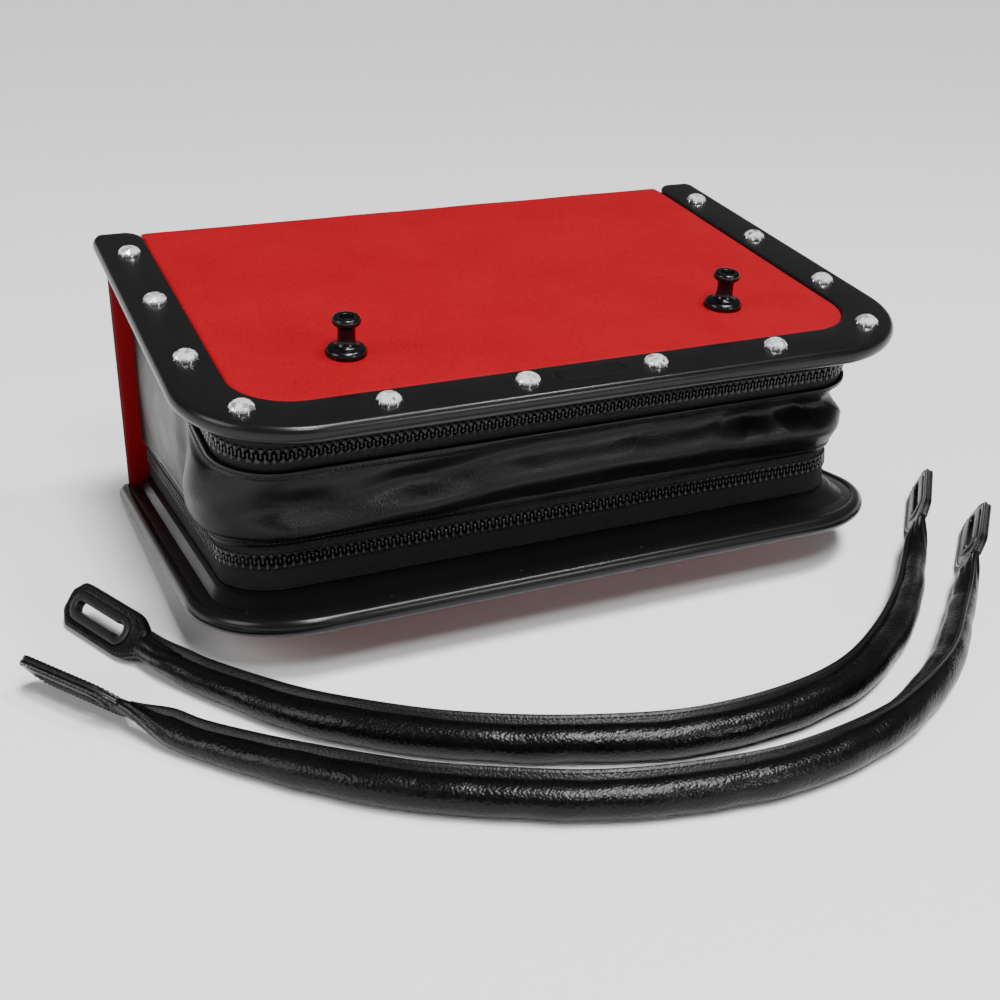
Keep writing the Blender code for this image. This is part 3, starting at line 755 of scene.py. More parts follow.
class Finishes:
    """Every material of the bag, made once."""

    def __init__(self) -> None:
        """Make the materials."""
        # ABS with a satin mould skin: flats stay dark, a bright line runs along round edges
        self.frame = Moulded("moulded_abs_satin", "#0C0C0D", "#121213", 0.24, 0.03, relief=0.012 * MM,
                              gleam=0.24).make()
        # The inner frame halves are the same plastic from a finer mould: no speckle, a duller shine
        self.rail = Moulded("moulded_abs_smooth", "#09090A", "#0E0E10", 0.36, 0.04, relief=0.008 * MM,
                             gleam=0.26).make()
        # Turned nylon, polished
        self.nylon = Moulded("polished_nylon", "#040405", "#08080A", 0.22, 0.04, relief=0.004 * MM,
                              gleam=0.35).make()
        # Keyhole plates: nylon straight from the mould, matt grey-black
        self.plate = Moulded("moulded_nylon_matt", "#0C0C0D", "#131314", 0.38, 0.06, grain=0.6 * MM,
                              gleam=0.3).make()
        # Acetal zip teeth: slick and hard
        self.teeth = Moulded("moulded_acetal", "#070708", "#0E0E10", 0.22, 0.06, 8 * MM, relief=0.006 * MM,
                              gleam=0.35).make()
        # Chrome-tanned cowhide, aniline red, with a light wax: fine grain, soft broad shine
        self.red = Leather("red_cowhide", "#86000E", "#940012", 0.52, 0.05, 60 * MM, gleam=0.16,
                           valley="#60000A", depth=0.3, grain=1.5 * MM, relief=0.06 * MM,
                           crease_relief=0.1 * MM).make()
        # Soft garment leather: finer pebble and a slight shine on every bulge
        self.soft = Leather("black_garment_leather", "#060606", "#0A0A0B", 0.36, 0.06, 30 * MM, gleam=0.24,
                            grain=1.3 * MM, relief=0.13 * MM, crease_relief=0.12 * MM).make()
        # Harness leather on the handles: coarse pebble that glints
        self.pebbled = Leather("black_pebbled_leather", "#050505", "#09090A", 0.29, 0.06, 25 * MM, gleam=0.2,
                               grain=1.8 * MM, relief=0.2 * MM, crease=9 * MM, crease_relief=0.3 * MM).make()
        # Cut leather edges, painted and burnished
        self.edge = Finish("edge_paint", "#070707", "#0E0E0E", 0.42).make()
        # Polyester zip tape
        self.tape = Woven("polyester_tape", "#060607", "#0A0A0B", 0.75, 0.05, gleam=0.25).make()
        # Bonded polyester thread
        self.thread = Finish("bonded_thread", "#0C0C0C", "#161616", 0.5, 0.05, 5 * MM, gleam=0.3).make()
        # Brushed nylon lining
        self.lining = Woven("lining_cloth", "#0D0D0F", "#141417", 0.85, 0.05, warp=2.2 * MM, weft=2.2 * MM,
                            source="Object", sheen=0.2).make()
        # Pressed fibre board
        self.board = Moulded("fibre_board", "#4A3D30", "#3A3026", 0.8, 0.05, relief=0.1 * MM).make()
        # Steel, blackened
        self.steel = Moulded("blackened_steel", "#1A1A1B", "#242425", 0.32, 0.06, metallic=1.0).make()
        # Zinc casting, black enamel
        self.enamel = Moulded("enamelled_zinc", "#0B0B0C", "#131314", 0.28, 0.06, coat=0.4,
                              relief=0.01 * MM).make()
        # Bright rivets that have lost their blacking
        self.rivet = Moulded("worn_rivet", "#4A4A4C", "#7A7A7C", 0.35, 0.1, 3 * MM, metallic=1.0).make()
        # Stamped brass, nickel plated: bright dots round each stone
        self.setting = Finish("nickel_plate", "#B8B8BC", "#D0D0D4", 0.2, 0.05, 4 * MM, metallic=1.0).make()
        # Lead crystal with foil behind: painted reflections, a partly diffuse white base with dark cells
        self.crystal = Foiled("foiled_crystal", "#FFFFFF", "#E4E6EC", 0.08, 0.03, 6 * MM, metallic=0.4,
                              coat=1.0).make()


# ---------------------------------------------------------------------------------------------------------
# Panels


def slab_rows(plan: np.ndarray, half: np.ndarray, outward: np.ndarray, thick: float, columns: int,
              edge: float) -> np.ndarray:
    """Closed section loops of a bent slab.

    Each row is a flat loop: along the outer face from left to right, round the edge, and back along the
    inner face. x is a share of the half-width, and near the edge the face drops by the 2.5th power of how
    far past the start of the drop it is.

    Args:
        plan: Middle line points (n, 3) with x = 0.
        half: Half-width at each point.
        outward: Unit normal of the outer face at each point, (n, 3).
        thick: Slab thickness.
        columns: Points across each face.
        edge: How far in from the edge the face starts to drop.
    Returns:
        Points of shape (n, 2 * columns, 3).
    """
    share = np.sin(np.linspace(-pi / 2, pi / 2, columns))
    x = half[:, None] * share
    near = np.clip((edge - (half[:, None] - np.abs(x))) / edge, 0, 1)
    drop = thick / 2 * (1 - 0.55 * near**2.5)
    across = np.stack([x, 0 * x, 0 * x], -1)
    outer = plan[:, None] + across + outward[:, None] * drop[..., None]
    inner = plan[:, None] + across - outward[:, None] * drop[..., None]
    return np.concatenate([outer, inner[:, ::-1]], 1)


@dataclass
class PanelPieces:
    """One panel: frame, zip rail, rivets, cover, board, lining, strap buttons and, on top, crystals."""

    side: Side
    finishes: Finishes
    arm_outer: float = 8 * MM
    arm_inner: float = 15 * MM
    end_round: float = 1.6 * MM
    cover_height: float = 1.2 * MM
    cover_thick: float = 2.6 * MM
    flap: float = 15 * MM
    button_x: float = 127 * MM
    button_from_front: float = 85 * MM
    stud_radius: float = 7.4 * MM
    girdle: float = 0.96
    stud_inset: float = 18.7 * MM
    stud_corner: float = 33 * MM
    stud_side: tuple = (272 * MM, 189 * MM, 103 * MM)
    stud_front: tuple = (41.3 * MM, 124.2 * MM)

    def build(self) -> None:
        """Build and dress every piece of the panel."""
        self.build_frame()
        self.build_rail()
        self.build_rivets()
        self.build_cover()
        self.build_buttons()
        if self.side is Side.TOP:
            self.build_studs()
            self.build_name_plate()
        for suffix, material in (("_board", self.finishes.board), ("_lining", self.finishes.lining)):
            node = frame["nodes"][self.side.word + suffix]
            node.data.materials.clear()
            node.data.materials.append(material)

    def frame_profile(self) -> np.ndarray:
        """Border, bullnose as half an ellipse, and lip.

        Returns:
            Rows of inset and height.
        """
        turn = np.linspace(-pi / 2, pi / 2, 17)
        half = PANEL.thick / 2
        nose = np.stack([PANEL.bullnose * (1 - np.cos(turn)), half + half * np.sin(turn)], -1)
        inner = rounded([(PANEL.border, PANEL.border_floor, 0), (PANEL.border, 0, 1.5 * MM), (20 * MM, 0, 0)])
        lip = PANEL.groove - 0.3 * MM
        back = rounded([(lip - 2 * MM, PANEL.thick, 0), (lip, PANEL.thick, 0.9 * MM),
                        (lip, PANEL.border_floor, 0)])
        return np.concatenate([inner, nose, back])

    def build_frame(self) -> None:
        """Outer frame half: the profile round the U, drawn in and rounded over at the two arm ends."""
        route = rim_route(0)
        profile = self.frame_profile()
        points, normals = route
        back = -points[:, 1]
        on_side = np.abs(normals[:, 1]) < 1e-6
        outer, inner = np.zeros(len(back)), np.full(len(back), PANEL.border)
        close = on_side & (back < self.arm_outer)
        outer[close] = self.arm_outer - np.sqrt(self.arm_outer**2 - (self.arm_outer - back[close]) ** 2)
        close = on_side & (back < self.arm_inner)
        inner[close] -= self.arm_inner - np.sqrt(self.arm_inner**2 - (self.arm_inner - back[close]) ** 2)
        inset = outer[:, None] + profile[None, :, 0] * ((inner - outer) / PANEL.border)[:, None]
        near = np.clip(1 - back / self.end_round, 0, 1) * on_side
        shrink = 1 - (1 - np.sqrt(1 - near**2)) * self.end_round * 2 / PANEL.thick
        middle = PANEL.thick / 2
        height = middle + (profile[None, :, 1] - middle) * shrink[:, None]
        plan = points[:, None] - normals[:, None] * inset[..., None]
        points = np.concatenate([plan, height[..., None]], -1)
        obj = skin(f"{self.side.word}_frame_shell", self.side.place(points))
        finish_piece(obj, self.side.body, self.finishes.frame, "frame_plastic", f"{self.side.word}_frame")

    def build_rail(self) -> None:
        """Inner frame half: a loft through Us of different size, from the ledge up two bands to the crest."""
        base = PANEL.board_top + 0.3 * MM
        edge = PANEL.width / 2 - PANEL.groove
        ring = PANEL.corner - PANEL.groove
        inside = (WALL.half - 2.4 * MM, WALL.front + 2.4 * MM, WALL.corner - 2.4 * MM)
        lines = [
            (edge, PANEL.groove, ring, base, 0),
            (edge, PANEL.groove, ring, PANEL.ledge, 0.8 * MM),
            (WALL.half + 8.5 * MM, 19 * MM, 46 * MM, PANEL.ledge, 1.0 * MM),
            (WALL.half + 7 * MM, 25 * MM, 43 * MM, PANEL.ledge + 1.5 * MM, 0.9 * MM),
            (WALL.half + 4.4 * MM, 33 * MM, 40 * MM, PANEL.crest - 1.1 * MM, 0.7 * MM),
            (WALL.half + 1.4 * MM, WALL.front - 1.4 * MM, WALL.corner + 1.4 * MM, PANEL.crest, 0.6 * MM),
            (*inside, PANEL.crest - 1 * MM, 0.6 * MM),
            (*inside, base, 0),
        ]
        rows = []
        for half, front, radius, height in rounded(lines):
            plan, _ = u_route(half, front, radius, PANEL.rail_rear)
            rows.append(np.concatenate([plan, np.full((len(plan), 1), height)], 1))
        points = self.side.place(np.stack(rows, 1))
        obj = skin(f"{self.side.word}_zip_rail_shell", points)
        finish_piece(obj, self.side.body, self.finishes.rail, "frame_plastic", f"{self.side.word}_zip_rail")

    def stud_places(self, inset: float) -> np.ndarray:
        """Plan points over the twelve studs, from rear left round to rear right.

        Args:
            inset: Distance of the points from the edge.
        Returns:
            Rows of x and y.
        """
        half = PANEL.width / 2
        corner = self.stud_corner - (self.stud_inset - inset) * 0.7
        left = [(-(half - inset), y - PANEL.depth) for y in self.stud_side]
        left.append((-(half - corner), corner - PANEL.depth))
        left += [(-x, inset - PANEL.depth) for x in reversed(self.stud_front)]
        return np.array(left + [(-x, y) for x, y in reversed(left)])

    def build_rivets(self) -> None:
        """Small domed rivet ends on the ledge, one behind each stud."""
        plan = self.stud_places(13.6 * MM)
        local = np.concatenate([plan, np.full((len(plan), 1), PANEL.ledge)], 1)
        axes = np.broadcast_to(self.side.turn(np.eye(3)), (len(plan), 3, 3))
        dome = bar_shape([(-0.3 * MM, 1.2 * MM, 1.2 * MM), (0.15 * MM, 1.1 * MM, 1.1 * MM),
                          (0.4 * MM, 0.7 * MM, 0.7 * MM), (0.5 * MM, 0.2 * MM, 0.2 * MM)], 10, 2.0)
        obj = scatter(f"{self.side.word}_rivets", dome, self.side.place(local), axes)
        finish_piece(obj, self.side.body, self.finishes.rivet, "screw_steel")

    def build_cover(self) -> None:
        """Red leather: flat over the board, dipping at its edge to the frame, then folded onto the spine."""
        half, radius = PANEL.width / 2 - PANEL.border - 0.5 * MM, PANEL.corner - PANEL.border
        front = PANEL.border + 0.5 * MM - PANEL.depth
        middle = self.cover_height + self.cover_thick / 2
        spine_tip = self.spine_point(self.flap, 1.5 * MM)
        run = np.array([(front, middle, 0), (0.9 * MM, middle, 6 * MM)])
        bend = rounded([*run, (*spine_tip, 0)], steps=12)
        flat = front + (bend[1, 0] - front) * np.linspace(0, 1, 60, endpoint=False) ** 1.6
        line = np.concatenate([np.stack([flat, np.full(60, middle)], -1), bend[1:]])
        step = unit(np.gradient(line, axis=0))
        outward = np.stack([np.zeros(len(line)), step[:, 1], -step[:, 0]], -1)
        depth = np.clip(line[:, 0] - front, 0, radius)
        widths = half - radius + np.sqrt(radius**2 - (radius - depth) ** 2)
        widths[line[:, 0] > -20 * MM] -= 0.3 * MM
        plan = np.concatenate([np.zeros((len(line), 1)), line], 1)
        loops = slab_rows(plan, widths, outward, self.cover_thick, 61, 4 * MM)
        front_dip = np.clip(1 - (line[:, 0] - front) / (4 * MM), 0, 1)[:, None] ** 2.5
        loops[:, :61, 2] += 0.7 * MM * front_dip
        loops[:, :61, 2] += 0.12 * MM * ripples(loops[:, :61, 0], loops[:, :61, 1], 60 * MM, 3)
        obj = skin(f"{self.side.word}_cover", self.side.place(loops))
        obj.data.materials.append(self.finishes.red)
        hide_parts(f"{self.side.word}_leather")
        start = self.side.place(np.array([0, -6 * MM, middle]))
        end = self.side.place(np.array([0, *self.spine_point(6 * MM, 0.0)]))
        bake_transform(obj)
        log.info("%s: %d faces", obj.name, len(obj.data.polygons))

    def spine_point(self, down: float, out: float) -> np.ndarray:
        """A point by the spine's outer face, in the panel's own y and z.

        Args:
            down: Distance along the spine from this panel's edge.
            out: Distance to the rear.
        Returns:
            The point's y and z.
        """
        other = Side.TOP if self.side is Side.BOTTOM else Side.BOTTOM
        away = unit((other.pivot - self.side.pivot)[None])[0]
        world = self.side.pivot + away * down + np.array([0, abs(away[2]), 0]) * out
        local = world - self.side.pivot
        c, s = cos(self.side.slope), sin(self.side.slope)
        y, z = local[1] * c + local[2] * s, local[2] * c - local[1] * s
        return np.array([y, -z if self.side is Side.TOP else z])

    def build_buttons(self) -> None:
        """Strap buttons turned from a profile, each with a socket screw in its well."""
        top = 22.4 * MM
        profile = rounded([
            (0, top - 3 * MM, 0), (3.9 * MM, top - 3 * MM, 0.4 * MM), (4.2 * MM, top - 0.3 * MM, 0.2 * MM),
            (5 * MM, top, 0.5 * MM), (7.8 * MM, top, 1.6 * MM), (8.6 * MM, top - 2.6 * MM, 1.5 * MM),
            (7.9 * MM, top - 4.6 * MM, 1 * MM), (5.7 * MM, top - 5.8 * MM, 1.2 * MM),
            (5.0 * MM, top - 8.5 * MM, 2 * MM), (5.2 * MM, 7.2 * MM, 1.8 * MM), (7.0 * MM, 4.2 * MM, 1.8 * MM),
            (10.6 * MM, 3.7 * MM, 1.6 * MM), (12.2 * MM, 1.7 * MM, 1.6 * MM), (11.9 * MM, -1.4 * MM, 0.6 * MM),
            (0, -1.4 * MM, 0)])
        floor = top - 2.7 * MM
        screw = rounded([(0, floor + 0.8 * MM, 0), (1.5 * MM, floor + 0.8 * MM, 0.1 * MM),
                         (1.6 * MM, floor + 1.9 * MM, 0.1 * MM), (2.6 * MM, floor + 1.9 * MM, 0.5 * MM),
                         (3.5 * MM, floor + 1 * MM, 0.4 * MM), (3.5 * MM, floor, 0.1 * MM), (0, floor, 0)])
        outward = self.side.turn(np.array([0, 0, -1.0]))
        right = np.array([1.0, 0, 0])
        axes = np.stack([right, np.cross(outward, right), outward])
        flip = -1 if self.side is Side.TOP else 1
        for hand, sign in (("left", -1), ("right", 1)):
            local = np.array([sign * flip * self.button_x, self.button_from_front - PANEL.depth, 0])
            origin = self.side.place(local)
            name = f"{self.side.word}_button"
            button = turned(f"{name}_turned_{hand}", profile, origin, axes)
            finish_piece(button, self.side.body, self.finishes.nylon, "button_nylon", f"{name}_{hand}")
            head = turned(f"{name}_socket_screw_{hand}", screw, origin, axes, 24)
            finish_piece(head, self.side.body, self.finishes.steel, "screw_steel", f"{name}_screw_{hand}")

    def stud_shape(self) -> tuple[np.ndarray, list]:
        """A brilliant cut: table, star facets, kites and girdle facets.

        Each ring is a share of the stud's radius, a height, a number of corners and a turn in corners.

        Returns:
            Points and faces.
        """
        rings = [(0.56, 4.3 * MM, 8, 0.0), (0.83, 3.1 * MM, 8, 0.5), (self.girdle, 1.6 * MM, 16, 0.0),
                 (0.92, 0.1 * MM, 16, 0.0)]
        points = []
        for share, height, count, shift in rings:
            angle = (np.arange(count) + shift) * 2 * pi / count
            radius = share * self.stud_radius
            ring = [radius * np.cos(angle), radius * np.sin(angle), np.full(count, height)]
            points.append(np.stack(ring, -1))
        faces = [list(range(8)), list(range(32, 48))[::-1]]
        for k in range(8):
            after, before = (k + 1) % 8, 8 + (k - 1) % 8
            faces += [[k, 8 + k, after], [k, before, 16 + 2 * k, 8 + k]]
            faces += [[8 + k, 16 + 2 * k, 17 + 2 * k], [8 + k, 17 + 2 * k, 16 + (2 * k + 2) % 16]]
        faces += [[16 + j, 32 + j, 32 + (j + 1) % 16, 16 + (j + 1) % 16] for j in range(16)]
        return np.concatenate(points), faces

    def build_name_plate(self) -> None:
        """A blank field in the middle of the front border: a fine raised rim, and a lower band inside it."""
        outward = self.side.turn(np.array([0, 0, -1.0]))
        right = np.array([1.0, 0, 0])
        axes = np.stack([right, np.cross(outward, right), outward])
        origin = self.side.place(np.array([0, self.stud_inset - PANEL.depth, 0]))
        long, wide, corner = 21 * MM, 6.5 * MM, 3 * MM
        rings = (("rim", 1.2 * MM, 0.0, 0.32 * MM), ("field", -0.3 * MM, -2 * MM, 0.12 * MM))
        for word, grow, hole, high in rings:
            loops = [rounded([(long + g, 0, 0), (long + g, wide + g, corner), (-long - g, wide + g, corner),
                              (-long - g, -wide - g, corner), (long + g, -wide - g, corner)], steps=8)
                     for g in (grow, hole)]
            obj = ring_slab(f"name_plate_{word}", *loops, -0.5 * MM, high, 0.12 * MM, origin, axes)
            finish_piece(obj, self.side.body, self.finishes.frame, "frame_plastic")

    def build_studs(self) -> None:
        """Crystals on the border, flat shaded, each turned a little differently and held by eight claws."""
        outward = self.side.turn(np.array([0, 0, -1.0]))
        for index, (x, y) in enumerate(self.stud_places(self.stud_inset)):
            angle = 0.7 * index
            right = np.array([cos(angle), 0, 0]) + sin(angle) * np.cross(outward, [1.0, 0, 0])
            right = unit(right[None])[0]
            axes = np.stack([right, np.cross(outward, right), outward])[None]
            origin = self.side.place(np.array([[x, y, 0]]))
            obj = scatter(f"crystal_{index + 1:02d}", self.stud_shape(), origin, axes)
            obj.data.shade_flat()
            node = f"crystal_stud_{index + 1:02d}"
            finish_piece(obj, self.side.body, self.finishes.crystal, "crystal", node)
            around = (np.arange(8) + 0.25) * pi / 4
            out = np.cos(around)[:, None] * axes[0, 0] + np.sin(around)[:, None] * axes[0, 1]
            lean = unit(outward - 0.35 * out)
            claws = np.stack([np.cross(out, lean), out, lean], 1)
            claw = bar_shape([(-0.6 * MM, 0.75 * MM, 0.45 * MM), (1.6 * MM, 0.65 * MM, 0.4 * MM),
                              (2.3 * MM, 0.3 * MM, 0.25 * MM)])
            feet = origin + out * (self.girdle * self.stud_radius + 0.1 * MM)
            obj = scatter(f"crystal_claws_{index + 1:02d}", claw, feet, claws)
            finish_piece(obj, self.side.body, self.finishes.setting, "screw_steel")


# ---------------------------------------------------------------------------------------------------------
# Zips and the walls between them


@dataclass
class Zip:
    """A closed moulded zip: two tapes, two interlocking rows of teeth, and the tapes' seams."""

    side: Side
    finishes: Finishes

    def build(self) -> None:
        """Build the half on the panel and the half on the gusset."""
        centre, reach = PANEL.zip_centre, WALL.chain / 2
        low, high = centre - reach + 1.7 * MM, centre + reach - 1.7 * MM
        self.build_half("panel", self.side.body, PANEL.crest + 0.2 * MM, low, 1, PANEL.rail_rear)
        self.build_half("gusset", "middle", high, high + 8.2 * MM, -1, PANEL.middle_rear)

    def build_half(self, word: str, body: str, low: float, high: float, sign: int, rear: float) -> None:
        """One tape with a corded edge, its row of teeth and its seam.

        Args:
            word: Which half, for the names.
            body: CAD body that it rides on.
            low: Lower height of the tape.
            high: Upper height of the tape.
            sign: 1 where the teeth stand above the tape, -1 where they hang below it.
            rear: Where the sides end.
        """
        cord, thin = 1.2 * MM, WALL.tape / 2
        hem, teeth_edge = (low, high) if sign > 0 else (high, low)
        half_section = [(thin, hem, 0.2 * MM), (thin, teeth_edge - sign * 2.4 * MM, 0.3 * MM),
                        (cord, teeth_edge - sign * 1.9 * MM, 0.3 * MM), (cord, teeth_edge, 0.5 * MM)]
        section = [(-x, z, r) for x, z, r in half_section] + half_section[::-1]
        name = f"{self.side.zip_word}_{word}"
        tape = skin(f"{name}_tape_woven", self.side.place(sweep(wall_route(rear), rounded(section, True, 3))))
        finish_piece(tape, body, self.finishes.tape, "zip_tape", f"{name}_tape")
        base = PANEL.zip_centre - sign * WALL.chain / 2
        row = self.teeth(name, base, sign, rear)
        finish_piece(row, body, self.finishes.teeth, "zip_teeth", f"{name}_teeth")
        height = PANEL.crest + 2.8 * MM if sign > 0 else WALL.leather_from - 1.2 * MM
        points, normals = wall_route(rear, thin)
        line = np.concatenate([points, np.full((len(points), 1), height)], 1)
        facing = np.concatenate([normals, np.zeros((len(points), 1))], 1)
        seam = stitch_line(f"{name}_tape_seam", self.side.place(line), self.side.turn(facing), 2.4 * MM,
                           0.26 * MM)
        finish_piece(seam, body, self.finishes.thread, "zip_tape")

    def teeth(self, name: str, base: float, sign: int, rear: float) -> bpy.types.Object:
        """T-shaped teeth at one pitch; the hanging row is half a pitch along, so that the heads interlock.

        Args:
            name: First words of the piece's name.
            base: Height of the teeth's feet.
            sign: 1 where they stand up, -1 where they hang.
            rear: Where the tape's sides end.
        Returns:
            The row as one object.
        """
        points, normals = wall_route(rear)
        start = WALL.pitch / 2 if sign < 0 else 0.0
        both = spaced(np.concatenate([points, normals], 1), 0.5 * MM, 2)
        run = np.concatenate([[0], np.cumsum(np.linalg.norm(np.diff(both[:, :2], axis=0), axis=1))])
        first = rear - PANEL.middle_rear
        at = np.arange(first + 3 * MM + start, run[-1] - 2 * MM, WALL.pitch)
        plan = np.stack([np.interp(at, run, both[:, i]) for i in range(4)], -1)
        out = unit(plan[:, 2:])
        zero, one = np.zeros(len(at)), np.ones(len(at))
        origins = self.side.place(np.stack([plan[:, 0], plan[:, 1], one * base], -1))
        up = self.side.turn(np.stack([zero, zero, sign * one], -1))
        outward = self.side.turn(np.stack([out[:, 0], out[:, 1], zero], -1))
        axes = np.stack([np.cross(outward, up), outward, up], 1)
        foot = [(0, 1.55 * MM, 1.8 * MM), (0.45 * MM, 1.95 * MM, 2.2 * MM), (2.45 * MM, 1.95 * MM, 2.25 * MM)]
        neck = [(3.0 * MM, 1.0 * MM, 2.05 * MM), (3.9 * MM, 0.9 * MM, 2.05 * MM)]
        head = [(4.75 * MM, 1.15 * MM, 2.15 * MM), (5.5 * MM, 1.42 * MM, 2.15 * MM),
                (6.2 * MM, 1.3 * MM, 2.05 * MM), (6.6 * MM, 0.85 * MM, 1.7 * MM)]
        tooth = bar_shape(foot + neck + head)
        return scatter(f"{name}_teeth_row", tooth, origins, axes)


@dataclass
class Gusset:
    """Soft leather wall between the zips, bulging low down, sunk under its upper hem, creased at its ends."""

    finishes: Finishes
    thick: float = 1.6 * MM
    rows: int = 72
    hem: float = 5 * MM
    # Share of the front stretch, tilt, width share and height in millimetres
    creases: tuple = ((0.79, 0.10, 0.022, 2.6), (0.86, 0.05, 0.02, -2.4), (0.93, -0.09, 0.026, 3.0),
                      (1.0, -0.14, 0.024, -2.6), (1.07, -0.2, 0.028, 3.2), (0.62, 0.16, 0.03, 1.6))

    def rim(self, side: Side) -> tuple[np.ndarray, np.ndarray]:
        """The wall's edge along one zip, from the rear left round the front to the rear right.

        Args:
            side: Whose zip.
        Returns:
            Points and outward normals in the row frame.
        """
        points, normals = wall_route(PANEL.middle_rear, WALL.leather_out)
        line = side.place(np.concatenate([points, np.full((len(points), 1), WALL.leather_from)], 1))
        facing = side.turn(np.concatenate([normals, np.zeros((len(points), 1))], 1))
        return (line, facing) if side is Side.BOTTOM else (line[::-1], facing[::-1])

    def relief(self, s: np.ndarray, v: np.ndarray) -> np.ndarray:
        """How far the leather stands outward.

        Sums long ridges, each a bell across a line that wanders in height, with bumps and pinch creases.

        Args:
            s: Distance along the wall from its rear left end.
            v: Height share, 0 at the lower zip and 1 at the upper.
        Returns:
            Outward distance, which fades to nothing at both hems.
        """
        length = s.max()
        side, corner = 226.6 * MM, 60.3 * MM
        f = (s - side - corner) / (length - 2 * side - 2 * corner)
        low = 0.16 + 0.26 * smoothstep(f, 0.0, 0.5)
        front = smoothstep(f, -0.14, 0.04) * (1 - smoothstep(f, 1.0, 1.16))
        total = front * 5.5 * MM * np.exp(-(((v - low) / 0.2) ** 2))
        total -= front * 5.0 * MM * np.exp(-(((v - low - 0.36) / 0.17) ** 2))
        total += 3.5 * MM * np.exp(-(((f - 0.1) / 0.06) ** 2) - ((v - 0.55) / 0.16) ** 2)
        total -= 3.0 * MM * np.exp(-(((f - 0.27) / 0.07) ** 2) - ((v - 0.5) / 0.14) ** 2)
        left = 1 - smoothstep(s, 200 * MM, 290 * MM)
        total += 9 * MM * np.exp(-(((s - 222 * MM) / (26 * MM)) ** 2)) * np.sin(pi * v) ** 0.8
        total += left * 4 * MM * np.sin(pi * v) * (1 - np.exp(-s / (60 * MM)))
        total -= 5 * MM * np.exp(-(((s - 170 * MM) / (15 * MM)) ** 2)) * np.sin(pi * v)
        right = smoothstep(f, 0.7, 1.0)
        total += right * 3 * MM * np.exp(-(((v - 0.28) / 0.2) ** 2))
        total -= right * 5 * MM * np.exp(-(((v - 0.7) / 0.14) ** 2))
        for at, tilt, width, high in self.creases:
            line = f - at - tilt * (v - 0.6)
            total += 1.2 * high * MM * np.exp(-(np.abs(line / width) ** 1.3) - ((v - 0.66) / 0.2) ** 2)
        up = v * 70 * MM
        total += 0.7 * MM * ripples(s, up, 55 * MM, 11) + 0.18 * MM * ripples(s, up, 20 * MM, 12)
        return total * smoothstep(v, 0.0, 0.16) * (1 - smoothstep(v, 0.86, 1.0))

    def build(self) -> None:
        """The wall with its hems, then a row of stitches through each hem."""
        (low, low_out), (high, high_out) = self.rim(Side.BOTTOM), self.rim(Side.TOP)
        s = np.concatenate([[0], np.cumsum(np.linalg.norm(np.diff(low, axis=0), axis=1))])
        count = 560
        even = np.linspace(0, s[-1], count)
        low, low_out, high, high_out = (np.stack([np.interp(even, s, a[:, i]) for i in range(3)], -1)
                                        for a in (low, low_out, high, high_out))
        v = np.linspace(0, 1, self.rows)[None, :]
        tall = np.linalg.norm(high - low, axis=1)[:, None]
        out = unit((low_out + high_out) * (1, 1, 0))
        middle = low[:, None] + (high - low)[:, None] * v[..., None]
        middle = middle + out[:, None] * self.relief(even[:, None], v)[..., None]
        from_edge = np.minimum(v, 1 - v) * tall
        folded = 1 - smoothstep(from_edge, self.hem, self.hem + 1.5 * MM)
        groove = np.exp(-(((from_edge - self.hem - 0.4 * MM) / (0.9 * MM)) ** 2))
        outer = self.thick / 2 + 0.5 * MM * folded - 0.5 * MM * groove
        edge = np.clip(from_edge / (1.1 * MM), 0, 1)
        round_off = np.sqrt(1 - (1 - edge) ** 2) * 0.85 + 0.15
        face = middle + out[:, None] * (outer * round_off)[..., None]
        back = middle - out[:, None] * (self.thick / 2 * round_off)[..., None]
        obj = skin("gusset_wall", np.concatenate([face, back[:, ::-1]], 1))
        finish_piece(obj, "middle", self.finishes.soft, "black_leather", "gusset_leather")
        half = self.rows // 2
        for word, first in (("lower", 0), ("upper", half)):
            pick = np.abs(from_edge[:, first : first + half] - (self.hem - 1.7 * MM)).argmin(1) + first
            line = face[np.arange(count), pick]
            stitches = stitch_line(f"gusset_{word}_hem_stitches", line, out, 3.2 * MM, 0.33 * MM)
            finish_piece(stitches, "middle", self.finishes.thread, "black_leather")


